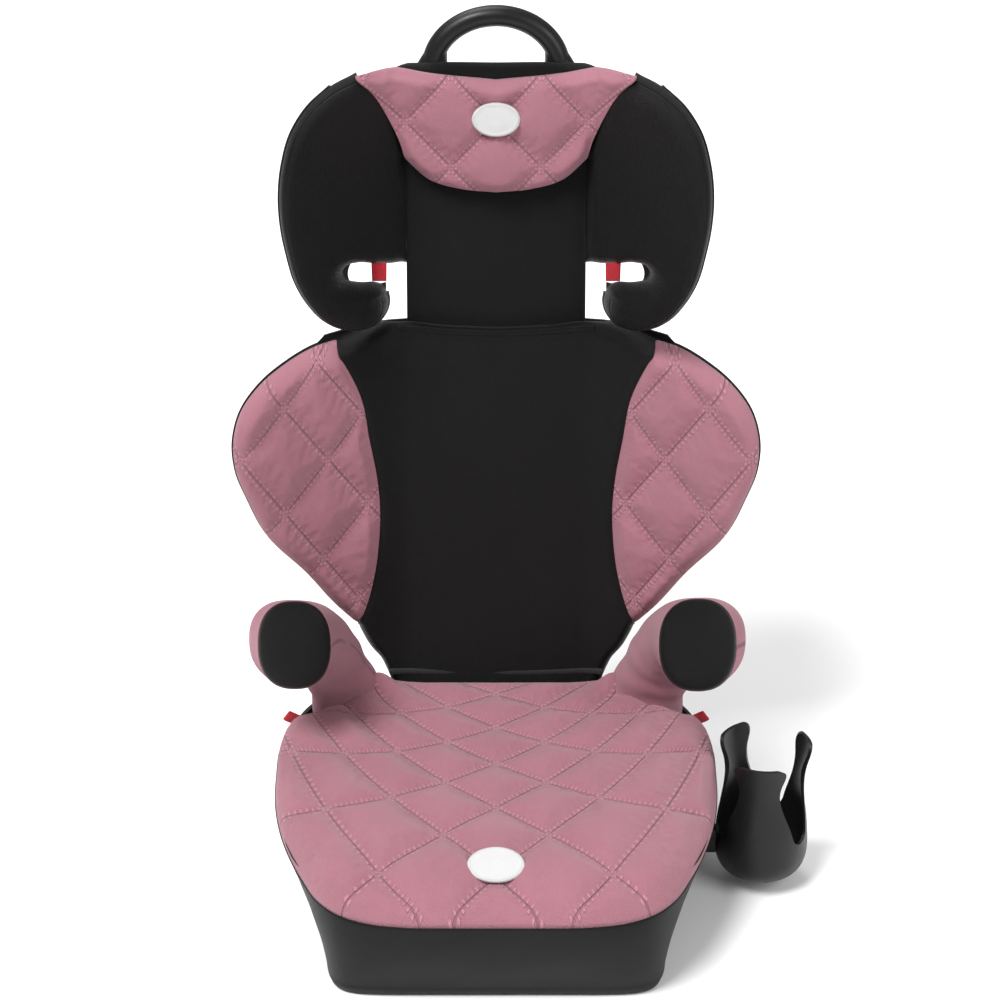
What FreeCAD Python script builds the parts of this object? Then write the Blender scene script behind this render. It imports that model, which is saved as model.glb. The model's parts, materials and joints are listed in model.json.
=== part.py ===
"""High-back booster seat: base with armrests, tilting lift-off backrest, sliding headrest and cup holder.

Row frame, millimetres: +X to the sitter's left as seen from the front (right of a front view), +Y to the
rear, +Z up. The origin is the middle of the flat underside. The backrest and the headrest are modelled
upright in their own frame (x across, y rearward from the back cushion's front face, z up along the back)
and then leaned back by RECLINE about the foot of the cushion.
"""

import FreeCAD, Part
import math
import os

from FreeCAD import Base, Vector

# ---- driving dimensions, mm and degrees -------------------------------------------------------------
RECLINE = 10.0
BACK_FOOT_Y = 143.0  # front face of the back cushion where the seat cushion ends
BACK_FOOT_Z = 125.0

SEAT_HALF_WIDTH = 186.0  # at the rim
FLOOR_HALF_WIDTH = 141.0
RIM_FRONT = -175.0
FLOOR_FRONT = -150.0
BASE_REAR = 180.0
REAR_POWER = 3.5  # squareness of the base's rear corners
BASE_MIDDLE = 15.0  # where the front and rear halves of the outline meet
RIM_HEIGHT = 97.0
PAN_Z = 84.0  # underside of the plate that carries the cushion
SKIRT = 2.5  # fabric band on the base
WALL = 3.0
FIT = 0.3  # gap between neighbours that only lie side by side
SHELL_INSET = SKIRT + FIT

RECESS_HALF = 98.0  # rear recess that takes the backrest's foot
RECESS_FRONT = 128.0
LEDGE = 38.0

HINGE_Y = 165.0
HINGE_Z = 60.0
ROD_R = 6.0
TILT = 5.0  # travel of the backrest about its rod
RUNNING = 0.06

# Front outline of the backrest, right half: (x, z) in the back's own frame.
BACK_TOP = [(0, 318), (80, 322), (128, 312), (152, 306)]
BACK_SIDE = [(152, 306), (178, 296), (199, 283), (214, 266), (221, 243), (220, 215), (211, 184), (197, 152),
             (177, 122), (152, 93), (124, 62), (110, 35), (92, 0), (84, -38)]
BACK_FOOT = -38.0
# Front outline of the headrest's wings, right half.
HEAD_SIDE = [(92, 542), (116, 543), (136, 537), (155, 524), (167, 505), (174, 482), (177, 455), (176, 430),
             (172, 404), (166, 378), (156, 355), (143, 336), (129, 324), (113, 320), (98, 327), (91, 344)]
HEAD_TOP_MID = 535.0
SLOT_LOW = 357.0  # belt slot in the wing
SLOT_HIGH = 384.0
SLOT_END = 125.0
STEM_HALF = 77.0
FINGER_TIP = 91.0

# Wing curves (start of the curve, half width, y at the middle, rise towards the front, power).
BACK_FRONT = (75.0, 221.0, 0.0, 97.0, 1.5)
BACK_SHELL = (93.0, 224.0, 27.0, 102.0, 1.5)
HEAD_FRONT = (70.0, 180.0, 14.0, 129.0, 1.15)
HEAD_SHELL = (82.0, 184.0, 23.0, 114.0, 1.15)

STEM_FRONT = 18.5  # front face of the headrest's stem plate
STEM_REAR = 22.5
STEM_WIDE_HALF = 80.5
STEM_BOTTOM = 80.0
STEM_SHOULDER = 226.0
TRAVEL = 90.0
STEP = 30.0  # between the headrest's positions
CATCH_Z = 268.0  # where the latch meets the rack

CUP_X = 229.0
CUP_Y = 10.0
CUP_FLOOR = 13.0
CUP_R = 40.0
CUP_HEIGHT = 122.0
CUP_WALL = 2.6

SIN = math.sin(math.radians(RECLINE))
COS = math.cos(math.radians(RECLINE))
OUT = "parts"


# ---- small tools ------------------------------------------------------------------------------------
def box(x0, x1, y0, y1, z0, z1):
    return Part.makeBox(x1 - x0, y1 - y0, z1 - z0, Vector(x0, y0, z0))


def rod(start, direction, length, radius):
    return Part.makeCylinder(radius, length, Vector(*start), Vector(*direction))


def mirrored(shape):
    return shape.mirror(Vector(0, 0, 0), Vector(1, 0, 0))


def spline(points):
    curve = Part.BSplineCurve()
    curve.interpolate([Vector(*p) for p in points])
    return curve.toShape()


def line(a, b):
    return Part.makeLine(Vector(*a), Vector(*b))


def face(edges):
    return Part.Face(Part.Wire(Part.__sortEdges__(edges)))


def leaned(shape):
    """From the back's own upright frame to the row frame."""
    shape = shape.copy()
    shape.rotate(Vector(0, 0, 0), Vector(1, 0, 0), -RECLINE)
    shape.translate(Vector(0, BACK_FOOT_Y, BACK_FOOT_Z))
    return shape


def to_back(y, z):
    """A row-frame (y, z) in the back's own frame."""
    dy, dz = y - BACK_FOOT_Y, z - BACK_FOOT_Z
    return dy * COS - dz * SIN, dy * SIN + dz * COS


def save(name, *shapes):
    solids = [s for shape in shapes for s in shape.Solids]
    for s in solids:
        assert s.isValid() and s.Volume > 0, name
    whole = solids[0] if len(solids) == 1 else Part.makeCompound(solids)
    whole.exportStep(os.path.join(OUT, name + ".step"))
    print(name, len(solids), "solid", round(sum(s.Volume for s in solids) / 1000, 1), "cm3")


# ---- curves that several parts share ------------------------------------------------------------------
def power_point(half, middle, reach, power, angle):
    """A point of a squared-off ellipse."""
    c, s = math.cos(angle), math.sin(angle)
    x = half * math.copysign(abs(c) ** (2 / power), c)
    y = middle + reach * math.copysign(abs(s) ** (2 / power), s)
    return x, y


def evenly_spaced(points, count):
    """count points spread evenly along a closed run of dense points, starting at the first."""
    steps = [math.dist(points[i], points[(i + 1) % len(points)]) for i in range(len(points))]
    pitch = sum(steps) / count
    chosen, walked = [], 0.0
    for point, step in zip(points, steps):
        if walked >= len(chosen) * pitch - 1e-9:
            chosen.append(point)
        walked += step
    return chosen[:count]


def base_ring(z, inset):
    """The base's outline at height z: squarer at the floor, rounder at the rim, taken in by inset."""
    up = z / RIM_HEIGHT
    half = FLOOR_HALF_WIDTH + (SEAT_HALF_WIDTH - FLOOR_HALF_WIDTH) * up - inset
    front = BASE_MIDDLE - (FLOOR_FRONT + (RIM_FRONT - FLOOR_FRONT) * up) - inset
    rear = BASE_REAR - BASE_MIDDLE - inset
    front_power = 6.0 - 3.0 * min(1.0, up)
    dense = []
    for i in range(1440):
        angle = math.pi / 2 + 2 * math.pi * i / 1440
        ahead = math.sin(angle) < 0
        dense.append(power_point(half, BASE_MIDDLE, front if ahead else rear,
                                 front_power if ahead else REAR_POWER, angle))
    points = evenly_spaced(dense, 40)
    half_ring = points[:21]
    half_ring[20] = (0.0, BASE_MIDDLE - front)
    both = half_ring + [(-x, y) for x, y in reversed(half_ring[1:-1])]
    curve = Part.BSplineCurve()
    curve.interpolate([Vector(x, y, z) for x, y in both], PeriodicFlag=True)
    return Part.Wire(curve.toShape())


def base_block(inset, low, high):
    levels = [low, low + 0.12 * (high - low), (low + high) / 2, high]
    return Part.makeLoft([base_ring(z, inset) for z in levels], True, False)


def wing_y(curve, x):
    start, half, middle, rise, power = curve
    across = max(0.0, abs(x) - start) / (half - start)
    return middle - rise * across**power


def wing_band(front, rear_gap, rear, front_gap, x0, x1, z0, z1):
    """The right-hand solid between two wing curves, from x0 to x1; a gap moves its curve inwards."""
    count = 9
    xs = [x0 + (x1 - x0) * i / (count - 1) for i in range(count)]
    near = [(x, wing_y(front, x) + front_gap, z0) for x in xs]
    far = [(x, wing_y(rear, x) - rear_gap, z0) for x in xs]
    outline = [spline(near), line(near[-1], far[-1]), spline(far), line(far[0], near[0])]
    return face(outline).extrude(Vector(0, 0, z1 - z0))


def shell_band(curve, inner, outer, thickness, z0, z1):
    """A wall that follows a wing curve, from |x| = inner to |x| = outer on the right."""
    rear = (curve[0], curve[1], curve[2] + thickness, curve[3], curve[4])
    return wing_band(curve, 0, rear, 0, inner, outer, z0, z1)


def outline_cutter(edges):
    """A prism through the back along y, from a closed outline drawn at y = 0."""
    flat = face(edges)
    flat.translate(Vector(0, -250, 0))
    return flat.extrude(Vector(0, 500, 0))


def grown(points, amount):
    """An outline moved sideways by amount: towards +x and away from its own middle height."""
    middle = sum(z for _, z in points) / len(points)
    span = max(abs(z - middle) for _, z in points)
    return [(x + amount * min(1.0, x / 120.0), z + amount * (z - middle) / span) for x, z in points]


def flat(points):
    return [(x, 0, z) for x, z in points]


def back_outline(inset, foot):
    """The backrest's front outline, both halves, taken in by inset."""
    top = flat(grown(BACK_TOP, -inset))
    side = flat(grown(BACK_SIDE, -inset))
    side[0] = top[-1]
    end = side[-1]
    low = (end[0], 0, foot)
    edges = [spline(top), spline(side)]
    if abs(end[2] - foot) > 0.01:
        edges.append(line(end, low))
    edges.append(line(low, (0, 0, foot)))
    edges.append(line((0, 0, foot), top[0]))
    half = outline_cutter(edges)
    return half.fuse(mirrored(half)).removeSplitter()


def head_outline(inset):
    """One wing of the headrest from the front, right side, before the belt slot is cut."""
    side = flat(grown(HEAD_SIDE, -inset))
    top, tip = side[0], side[-1]
    low = (STEM_HALF + 1, 0, tip[2])
    high = (STEM_HALF + 1, 0, top[2])
    return outline_cutter([spline(side), line(tip, low), line(low, high), line(high, top)])


def belt_slot(grow):
    """The shoulder-belt slot with its way in beside the stem, right side."""
    middle = (SLOT_LOW + SLOT_HIGH) / 2
    radius = (SLOT_HIGH - SLOT_LOW) / 2 + grow
    end = SLOT_END - radius
    slot = box(STEM_HALF - 4, end, -250, 250, middle - radius, middle + radius)
    slot = slot.fuse(rod((end, -250, middle), (0, 1, 0), 500, radius))
    way_in = box(STEM_HALF - 4, FINGER_TIP + grow, -250, 250, 300, middle)
    return slot.fuse(way_in)


def ring(centre, forward, across_half, other_half, power=2.4, count=16):
    """A closed section square to forward: across_half is its level half width, other_half the rest."""
    forward = Vector(*forward)
    forward.normalize()
    level = forward.cross(Vector(0, 0, 1))
    if level.Length < 0.2:
        level = Vector(1, 0, 0)
    level = Vector(1, 0, 0) - forward * forward.x
    level.normalize()
    third = forward.cross(level)
    points = []
    for i in range(count):
        u, w = power_point(across_half, 0, other_half, power, 2 * math.pi * i / count)
        points.append(Vector(*centre) + level * u + third * w)
    curve = Part.BSplineCurve()
    curve.interpolate(points, PeriodicFlag=True)
    return Part.Wire(curve.toShape())


def screw(at, direction, shank=2.0, head=3.8, length=10.0, head_height=2.2):
    """A pan-head screw; at is the underside of its head and direction points along the shank."""
    d = Vector(*direction)
    d.normalize()
    start = Vector(*at)
    body = Part.makeCylinder(shank, length, start, d)
    cap = Part.makeCylinder(head, head_height, start - d * head_height, d)
    cross = Part.makeCylinder(1.4, 1.2, start - d * head_height, d)
    return cap.cut(cross).fuse(body)


# ---- base -------------------------------------------------------------------------------------------
ARM_SECTIONS = [
    # centre, direction of the horn, half across, half the other way
    ((135, 124, 96), (0.08, 0, 1), 27.5, 27),
    ((138, 124, 126), (0.15, -0.1, 1), 27, 27),
    ((149, 114, 163), (0.3, -0.45, 0.85), 28, 28),
    ((163, 92, 191), (0.25, -0.85, 0.55), 31, 31),
    ((174, 63, 208), (0.1, -0.95, 0.35), 37, 35),
    ((170.5, 38, 219), (0, -0.925, 0.381), 31, 38),
]
ARM_TIP_RISE = 22.4  # how far the end pad faces upwards


def arm_horn(shrink):
    wires = []
    for centre, forward, across, other in ARM_SECTIONS:
        wires.append(ring(centre, forward, across - shrink, other - shrink))
    return Part.makeLoft(wires, True, False)


def arm_tip_block(depth):
    """Everything in front of a plane depth behind the horn's last section."""
    block = box(-150, 150, -100, depth, -100, 100)
    block.rotate(Vector(0, 0, 0), Vector(1, 0, 0), -ARM_TIP_RISE)
    block.translate(Vector(*ARM_SECTIONS[-1][0]))
    return block


def rear_recess(grow=0.0):
    return box(-RECESS_HALF - grow, RECESS_HALF + grow, RECESS_FRONT - grow, 300, LEDGE, 300)


def recess_lining(outer):
    """The wall that closes the tub around the recess, inside the outer block."""
    lining = rear_recess(WALL).fuse(
        box(-RECESS_HALF - WALL, RECESS_HALF + WALL, RECESS_FRONT - WALL, 300, LEDGE - WALL, LEDGE + 1))
    for x, y, z in HINGE_BOLTS:
        lining = lining.cut(rod((x, y, z - 15), (0, 0, 1), 30, 2.1))
    return outer.common(lining.cut(rear_recess()))


def foot_pads(grow=0.0):
    pads = []
    for x in (-95, 95):
        for y in (-105, 120):
            pads.append(box(x - 26 - grow, x + 26 + grow, y - 13 - grow, y + 13 + grow, -1, 1.8 + grow))
    return Part.makeCompound(pads)


PAN_SCREWS = [(x, y) for x in (-110, 110) for y in (-70, 60)]


def base_shell():
    outer = base_block(SHELL_INSET, 0, RIM_HEIGHT)
    inner = base_block(SHELL_INSET + WALL, WALL, RIM_HEIGHT + 5).common(box(-300, 300, -300, 300, WALL, 300))
    shell = outer.cut(inner).fuse(recess_lining(outer)).cut(rear_recess())
    ribs = [box(x - 1.2, x + 1.2, -140, 120, WALL - 0.5, 26) for x in (-60, 0, 60)]
    ribs += [box(-135, 135, y - 1.2, y + 1.2, WALL - 0.5, 22) for y in (-80, 20)]
    for rib in ribs:
        shell = shell.fuse(rib)
    for x, y in PAN_SCREWS:
        shell = shell.fuse(rod((x, y, WALL - 0.5), (0, 0, 1), PAN_Z - WALL + 0.5, 6))
        shell = shell.cut(rod((x, y, -1), (0, 0, 1), 7, 4.4)).cut(rod((x, y, -1), (0, 0, 1), 200, 2.1))
    for pad in foot_pads(0.2).Solids:
        shell = shell.cut(pad)
    return shell


def seat_pan():
    """The plate that closes the tub under the cushion, with a raised rib at the rear of the seat."""
    plate = base_block(SHELL_INSET + WALL + FIT, 60, RIM_HEIGHT)
    plate = plate.common(box(-300, 300, -300, 300, PAN_Z, PAN_Z + 3.5))
    plate = plate.cut(rear_recess(WALL + FIT))
    for x, y in PAN_SCREWS:
        plate = plate.cut(rod((x, y, 60), (0, 0, 1), 60, 2.0))
    return plate


def pan_screws():
    return [screw((x, y, 6), (0, 0, 1), length=PAN_Z - 4, shank=1.9) for x, y in PAN_SCREWS]


LAP_TAB = ((SEAT_HALF_WIDTH - 8.5, 88, 104), 75)


def seat_cushion(arms):
    rings = []
    for z, inset in ((RIM_HEIGHT + FIT, 1.0), (104, 1.5), (113, 6), (120, 18), (124, 40)):
        rings.append(base_ring(min(z, RIM_HEIGHT), inset + 0.0))
        rings[-1].translate(Vector(0, 0, max(0.0, z - RIM_HEIGHT)))
    top = Part.makeLoft(rings, True, False)
    fill = base_block(SHELL_INSET + WALL + FIT, 60, RIM_HEIGHT + 3)
    fill = fill.common(box(-300, 300, -300, 300, 88, 97.6))
    cushion = top.fuse(fill).cut(box(-300, 300, RECESS_FRONT + 3, 300, 0, 300))
    cushion = cushion.cut(rear_recess(WALL + FIT).common(box(-300, 300, 0, 300, 0, 98)))
    corner = box(106, 300, 97, 300, 0, 300)
    cushion = cushion.cut(corner).cut(mirrored(corner))
    pocket = belt_tab(*LAP_TAB, grow=FIT)
    for taken in arms + [pocket, mirrored(pocket)]:
        cushion = cushion.cut(taken)
    return cushion.removeSplitter()


def base_skirt():
    band = base_block(0, 0, RIM_HEIGHT).cut(base_block(SKIRT, -1, RIM_HEIGHT + 1))
    band = band.common(box(-300, 300, -300, 150, 3, RIM_HEIGHT))
    return band.cut(rear_recess())


def armrests():
    """Core, padded cover and end pad of the right arm."""
    horn = arm_horn(0)
    core = arm_horn(9).cut(arm_tip_block(17))
    foot = box(116, 162, 101, 153, RIM_HEIGHT - 6, RIM_HEIGHT + 4)
    core = core.fuse(foot.common(base_block(SHELL_INSET + WALL + FIT, 60, RIM_HEIGHT + 6)))
    above = box(0, 300, -300, 300, RIM_HEIGHT + 4 + FIT, 400)
    end = horn.common(arm_tip_block(10))
    cover = horn.common(above).cut(core).cut(arm_tip_block(10))
    return core.removeSplitter(), cover, end


def belt_tab(at, outward, grow=0.0):
    """A folded ribbon tab standing out from the cover, or the pocket it is sewn into when grown."""
    tab = box(-6.5 - grow, 6.5 + grow, -1.0 - grow, 1.0 + grow, -grow, 11.0 + grow)
    tab.rotate(Vector(0, 0, 0), Vector(0, 1, 0), outward)
    tab.translate(Vector(*at))
    return tab


HINGE_BOLTS = [(side * x, 149.5, LEDGE) for side in (-1, 1) for x in (77.6, 86.4)]


def hinge_bracket():
    """The right-hand bearing block on the ledge."""
    x0, x1 = 74, 90
    block = box(x0, x1, 145, 171, LEDGE, LEDGE + 5)
    web = box(x0 + 4, x1 - 4, HINGE_Y - 11, HINGE_Y + 6, LEDGE, HINGE_Z)
    eye = rod((x0 + 4, HINGE_Y, HINGE_Z), (1, 0, 0), x1 - x0 - 8, 12)
    block = block.fuse(web).fuse(eye)
    block = block.cut(rod((x0, HINGE_Y, HINGE_Z), (1, 0, 0), 40, ROD_R + RUNNING))
    for x, y, z in HINGE_BOLTS[2:]:
        block = block.cut(rod((x, y, LEDGE - 1), (0, 0, 1), 20, 2.1))
    return block.removeSplitter()


def bracket_screws():
    return [screw((x, y, LEDGE + 5), (0, 0, -1), length=14, shank=1.95, head=3.2, head_height=2.0)
            for x, y, z in HINGE_BOLTS]


HOOK_X = (48.0, 62.0)
ROD_Y, ROD_Z = to_back(HINGE_Y, HINGE_Z)


def recline_bumper():
    """Rubber block that the backrest's hook leans on, right side, in the row frame."""
    block = box(HOOK_X[0] + 1, HOOK_X[1] - 1, RECESS_FRONT, 160, LEDGE, 62)
    behind = leaned(box(0, 100, ROD_Y - 15 - FIT, 200, -200, 200))
    return block.cut(behind)


SIDE_SLOPE = math.degrees(math.atan2(SEAT_HALF_WIDTH - FLOOR_HALF_WIDTH, RIM_HEIGHT))


def on_side(x0, x1, half_y, z0, z1):
    """A box standing on the base's sloping side: x outwards from the skirt, z up along it."""
    block = box(x0, x1, -half_y, half_y, z0, z1)
    block.rotate(Vector(0, 0, 0), Vector(0, 1, 0), SIDE_SLOPE)
    block.translate(Vector(FLOOR_HALF_WIDTH, CUP_Y, 0))
    return block


def cup_rail(skirt_block):
    """T-slotted rail on the base's side that the cup holder drops into."""
    body = on_side(-6, 12.5, 17, 30, 68).cut(skirt_block)
    slot = on_side(8.5, 14, 6, 35, 90).fuse(on_side(4.5, 8.5, 11, 35, 90))
    return max(body.cut(slot).Solids, key=lambda solid: solid.Volume)


def cup_holder():
    """Tulip-shaped cup with three fingers and a T-shaped tongue."""
    def profile(r, wall):
        floor = CUP_FLOOR + wall
        return [(0, floor), (r - 16, floor), (r - 6, floor + 3.5), (r - 0.5, floor + 16), (r, floor + 28),
                (r - 1.5, floor + 50), (r - 4.6, floor + 72), (r - 5, floor + 88)]

    outer = profile(CUP_R, 0) + [(CUP_R - 2.6, CUP_FLOOR + 106), (CUP_R + 0.6, CUP_FLOOR + CUP_HEIGHT)]
    inner = profile(CUP_R - CUP_WALL, CUP_WALL)[:-1]
    inner += [(CUP_R - 5.4 - CUP_WALL, CUP_FLOOR + 90), (CUP_R - 2.9 - CUP_WALL, CUP_FLOOR + 106),
              (CUP_R + 0.4 - CUP_WALL, CUP_FLOOR + CUP_HEIGHT)]

    def edges_of(points):
        flat_part = line((points[0][0], 0, points[0][1]), (points[1][0], 0, points[1][1]))
        return [flat_part, spline([(r, 0, z) for r, z in points[1:]])]

    section = edges_of(outer) + edges_of(inner)
    section.append(line((outer[-1][0], 0, outer[-1][1]), (inner[-1][0], 0, inner[-1][1])))
    section.append(line((0, 0, outer[0][1]), (0, 0, inner[0][1])))
    cup = face(section).revolve(Vector(0, 0, 0), Vector(0, 0, 1), 360)
    for middle in (-35, 73.5, 193.5):
        cup = cup.cut(finger_gap(middle))
    cup.translate(Vector(CUP_X, CUP_Y, 0))
    tongue = on_side(8.0, 34, 5.7, 35.3, 66).fuse(on_side(4.8, 8.2, 10.7, 35.3, 66))
    inside = rod((CUP_X, CUP_Y, 0), (0, 0, 1), 200, CUP_R - CUP_WALL / 2)
    tongue = tongue.cut(inside).common(box(100, CUP_X, -50, 50, 28, 100))
    return cup.fuse(tongue).removeSplitter()


def finger_gap(middle_angle):
    """The opening between two fingers, cut along a radius at middle_angle."""
    low = CUP_FLOOR + 37
    right = [(0, low), (7, low + 2.5), (11.5, low + 14), (15.5, low + 30), (19, low + 44), (21, low + 56),
             (21, low + 68), (20.3, low + 77), (22, low + 82), (26, low + 85), (33, low + 86)]
    left = [(-x, z) for x, z in reversed(right[1:])]
    points = [(0, x, z) for x, z in left + right]
    roof = low + 100
    edges = [spline(points), line(points[-1], (0, 40, roof)), line((0, 40, roof), (0, -40, roof)),
             line((0, -40, roof), points[0])]
    cutter = face(edges).extrude(Vector(80, 0, 0))
    cutter.rotate(Vector(0, 0, 0), Vector(0, 0, 1), middle_angle)
    return cutter


# ---- backrest ---------------------------------------------------------------------------------------
RAIL_SCREWS = [(side * 87.0, z) for side in (-1, 1) for z in (110, 200, 290)]
HOOK_SCREWS = [(side * 55.0, z) for side in (-1, 1) for z in (-28, 4)]
SHELL_FRONT = BACK_SHELL[2]
SHELL_REAR = SHELL_FRONT + WALL


def back_shell():
    """One moulding: flat middle, curved wings, stiffening ribs, latch window."""
    low, high = BACK_FOOT - 6, 335
    wing = shell_band(BACK_SHELL, BACK_SHELL[0], BACK_SHELL[1], WALL, low, high)
    middle = box(-BACK_SHELL[0], BACK_SHELL[0], SHELL_FRONT, SHELL_REAR, low, high)
    shell = middle.fuse(wing).fuse(mirrored(wing))
    shell = shell.common(back_outline(5, BACK_FOOT - 6))
    inner_outline = back_outline(13, BACK_FOOT)
    for z in (55, 120, 185, 250):
        rib = shell_band(BACK_SHELL, BACK_SHELL[0], BACK_SHELL[1] - 8, WALL + 6, z - 1.2, z + 1.2)
        middle_rib = box(30, BACK_SHELL[0], SHELL_REAR - 1, SHELL_REAR + 6, z - 1.2, z + 1.2)
        rib = rib.fuse(middle_rib).common(inner_outline)
        shell = shell.fuse(rib).fuse(mirrored(rib))
    for x in (30, 70, 118):
        y = wing_y(BACK_SHELL, x) + WALL
        upright = box(x - 1.2, x + 1.2, y - 2.5, y + 6, 20, 300)
        upright = upright.common(back_outline(13, BACK_FOOT))
        shell = shell.fuse(upright).fuse(mirrored(upright))
    for x, z in RAIL_SCREWS + HOOK_SCREWS:
        shell = shell.cut(rod((x, 0, z), (0, 1, 0), 60, 2.1))
    shell = shell.cut(box(-13, 13, 0, 60, CATCH_Z - 8, CATCH_Z + 20))
    for x, z in LATCH_SCREWS + BRACKET_HOLES:
        shell = shell.cut(rod((x, 0, z), (0, 1, 0), 60, 1.6))
    return shell.removeSplitter()


def back_wing_pad():
    x0, x1 = 95.0, BACK_FRONT[1]
    pad = wing_band(BACK_FRONT, FIT, BACK_SHELL, 0, x0, x1, BACK_FOOT, 335)
    return pad.common(back_outline(0, BACK_FOOT))


def arm_clearance():
    """The armrest's horn as the leaned backrest meets it while it tilts forwards."""
    taken = []
    for tilt in (0, 2.5, TILT):
        horn = arm_horn(-1)
        horn.rotate(Vector(0, HINGE_Y, HINGE_Z), Vector(1, 0, 0), -tilt)
        taken.append(horn)
    return taken


def back_pad():
    pad = box(-94.5, 94.5, 0, 14.2, BACK_FOOT, 335)
    return pad.common(back_outline(0, BACK_FOOT))


def guide_rail():
    """C-shaped rail on the right that holds the stem's edge."""
    rail = box(STEM_HALF + 0.8, 92, 14.8, SHELL_FRONT, STEM_BOTTOM, 316)
    groove = box(0, STEM_WIDE_HALF + 0.4, STEM_FRONT - 0.3, STEM_REAR + 0.3, 0, 400)
    rail = rail.cut(groove)
    rail = rail.cut(box(0, STEM_WIDE_HALF + 0.4, STEM_REAR, SHELL_FRONT + 1, 0, 400))
    for x, z in RAIL_SCREWS:
        if x > 0:
            rail = rail.cut(rod((x, 16.5, z), (0, 1, 0), 60, 1.6))
    return rail.common(back_outline(4, BACK_FOOT))


def rail_screws():
    return [screw((x, SHELL_REAR, z), (0, -1, 0), length=11, shank=1.5, head=3.2) for x, z in RAIL_SCREWS]


def back_hook():
    """Fork that drops over the hinge rod, right side."""
    x0, x1 = HOOK_X
    hook = box(x0, x1, SHELL_REAR, SHELL_REAR + 13, ROD_Z, 14)
    hook = hook.fuse(rod((x0, ROD_Y, ROD_Z), (1, 0, 0), x1 - x0, 15))
    hook = hook.fuse(box(x0, x1, ROD_Y - 15, ROD_Y + 15, ROD_Z - 18, ROD_Z))
    gap = ROD_R + 0.12
    hook = hook.cut(rod((x0, ROD_Y, ROD_Z), (1, 0, 0), x1 - x0, gap))
    hook = hook.cut(box(x0, x1, ROD_Y - gap, ROD_Y + gap, ROD_Z - 60, ROD_Z))
    hook = hook.cut(box(x0, x1, 0, SHELL_REAR, BACK_FOOT - 6.3, 100))
    for x, z in HOOK_SCREWS:
        if x > 0:
            hook = hook.cut(rod((x, 0, z), (0, 1, 0), 90, 2.1))
    return hook.removeSplitter()


def hook_screws():
    return [screw((x, SHELL_REAR + 13, z), (0, -1, 0), length=16, shank=2.0, head=4.0)
            for x, z in HOOK_SCREWS]


# latch and lever, on the rear of the shell
LEVER_Y, LEVER_Z = SHELL_REAR + 14.0, 296.0
LATCH_SCREWS = [(0.0, 222.0)]
BRACKET_HOLES = [(side * 21.0, z) for side in (-1, 1) for z in (288, 304)]
LEAF = 1.2
LEAF_FRONT = SHELL_REAR + 0.4


def latch_spring():
    """Spring-steel leaf; its catch reaches through the shell into the stem's rack."""
    leaf = box(-8, 8, LEAF_FRONT, LEAF_FRONT + LEAF, 214, 286)
    foot = box(-8, 8, SHELL_REAR, LEAF_FRONT, 214, 230)
    catch = box(-6, 6, STEM_REAR + 0.8, LEAF_FRONT, CATCH_Z - 3, CATCH_Z + 2)
    leaf = leaf.fuse(foot).fuse(catch)
    leaf = leaf.cut(rod((0, 0, 222), (0, 1, 0), 60, 1.7))
    leaf = leaf.cut(box(-4.3, 4.3, 0, 60, 275.5, 282.5))
    return leaf.removeSplitter()


def lever_bracket():
    """Two ears that carry the lever's pin."""
    bracket = box(-26, 26, SHELL_REAR, SHELL_REAR + 2.5, 284, 308)
    bracket = bracket.cut(box(-13.2, 13.2, 0, 90, 270, 310))
    for side in (-1, 1):
        ear = box(14, 17, SHELL_REAR, LEVER_Y, LEVER_Z - 6, LEVER_Z + 6)
        ear = ear.fuse(rod((14, LEVER_Y, LEVER_Z), (1, 0, 0), 3, 6))
        if side < 0:
            ear = mirrored(ear)
        bracket = bracket.fuse(ear)
    bridge = box(-17, 17, SHELL_REAR, SHELL_REAR + 2.5, 304.5, 308)
    bracket = bracket.fuse(bridge)
    bracket = bracket.cut(rod((-40, LEVER_Y, LEVER_Z), (1, 0, 0), 80, 2.0))
    for x, z in BRACKET_HOLES:
        bracket = bracket.cut(rod((x, 0, z), (0, 1, 0), 90, 1.6))
    return bracket.removeSplitter()


def bracket_pins():
    return [screw((x, SHELL_REAR + 2.5, z), (0, -1, 0), length=5.2, shank=1.5, head=2.8, head_height=1.6)
            for x, z in BRACKET_HOLES]


def latch_screw():
    return screw((0, LEAF_FRONT + LEAF, 222), (0, -1, 0), length=4.2, shank=1.5, head=3.2, head_height=1.8)


def lever_pin():
    pin = rod((-18.5, LEVER_Y, LEVER_Z), (1, 0, 0), 37, 1.95)
    head = rod((-20.5, LEVER_Y, LEVER_Z), (1, 0, 0), 2, 3.4)
    clip = rod((17.3, LEVER_Y, LEVER_Z), (1, 0, 0), 1.2, 3.4)
    clip = clip.cut(rod((0, LEVER_Y, LEVER_Z), (1, 0, 0), 30, 1.95))
    return pin.fuse(head), clip


def lever_spring():
    """Torsion spring: a coil round the pin beside the hub, its legs on the shell and on the lever."""
    coil = rod((8.2, LEVER_Y, LEVER_Z), (1, 0, 0), 4.6, 4.4)
    coil = coil.cut(rod((0, LEVER_Y, LEVER_Z), (1, 0, 0), 30, 3.2))
    leg = box(11.8, 12.8, SHELL_REAR + 0.1, LEVER_Y - 3.5, LEVER_Z - 0.5, LEVER_Z + 0.5)
    return coil.fuse(leg).removeSplitter()


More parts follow.
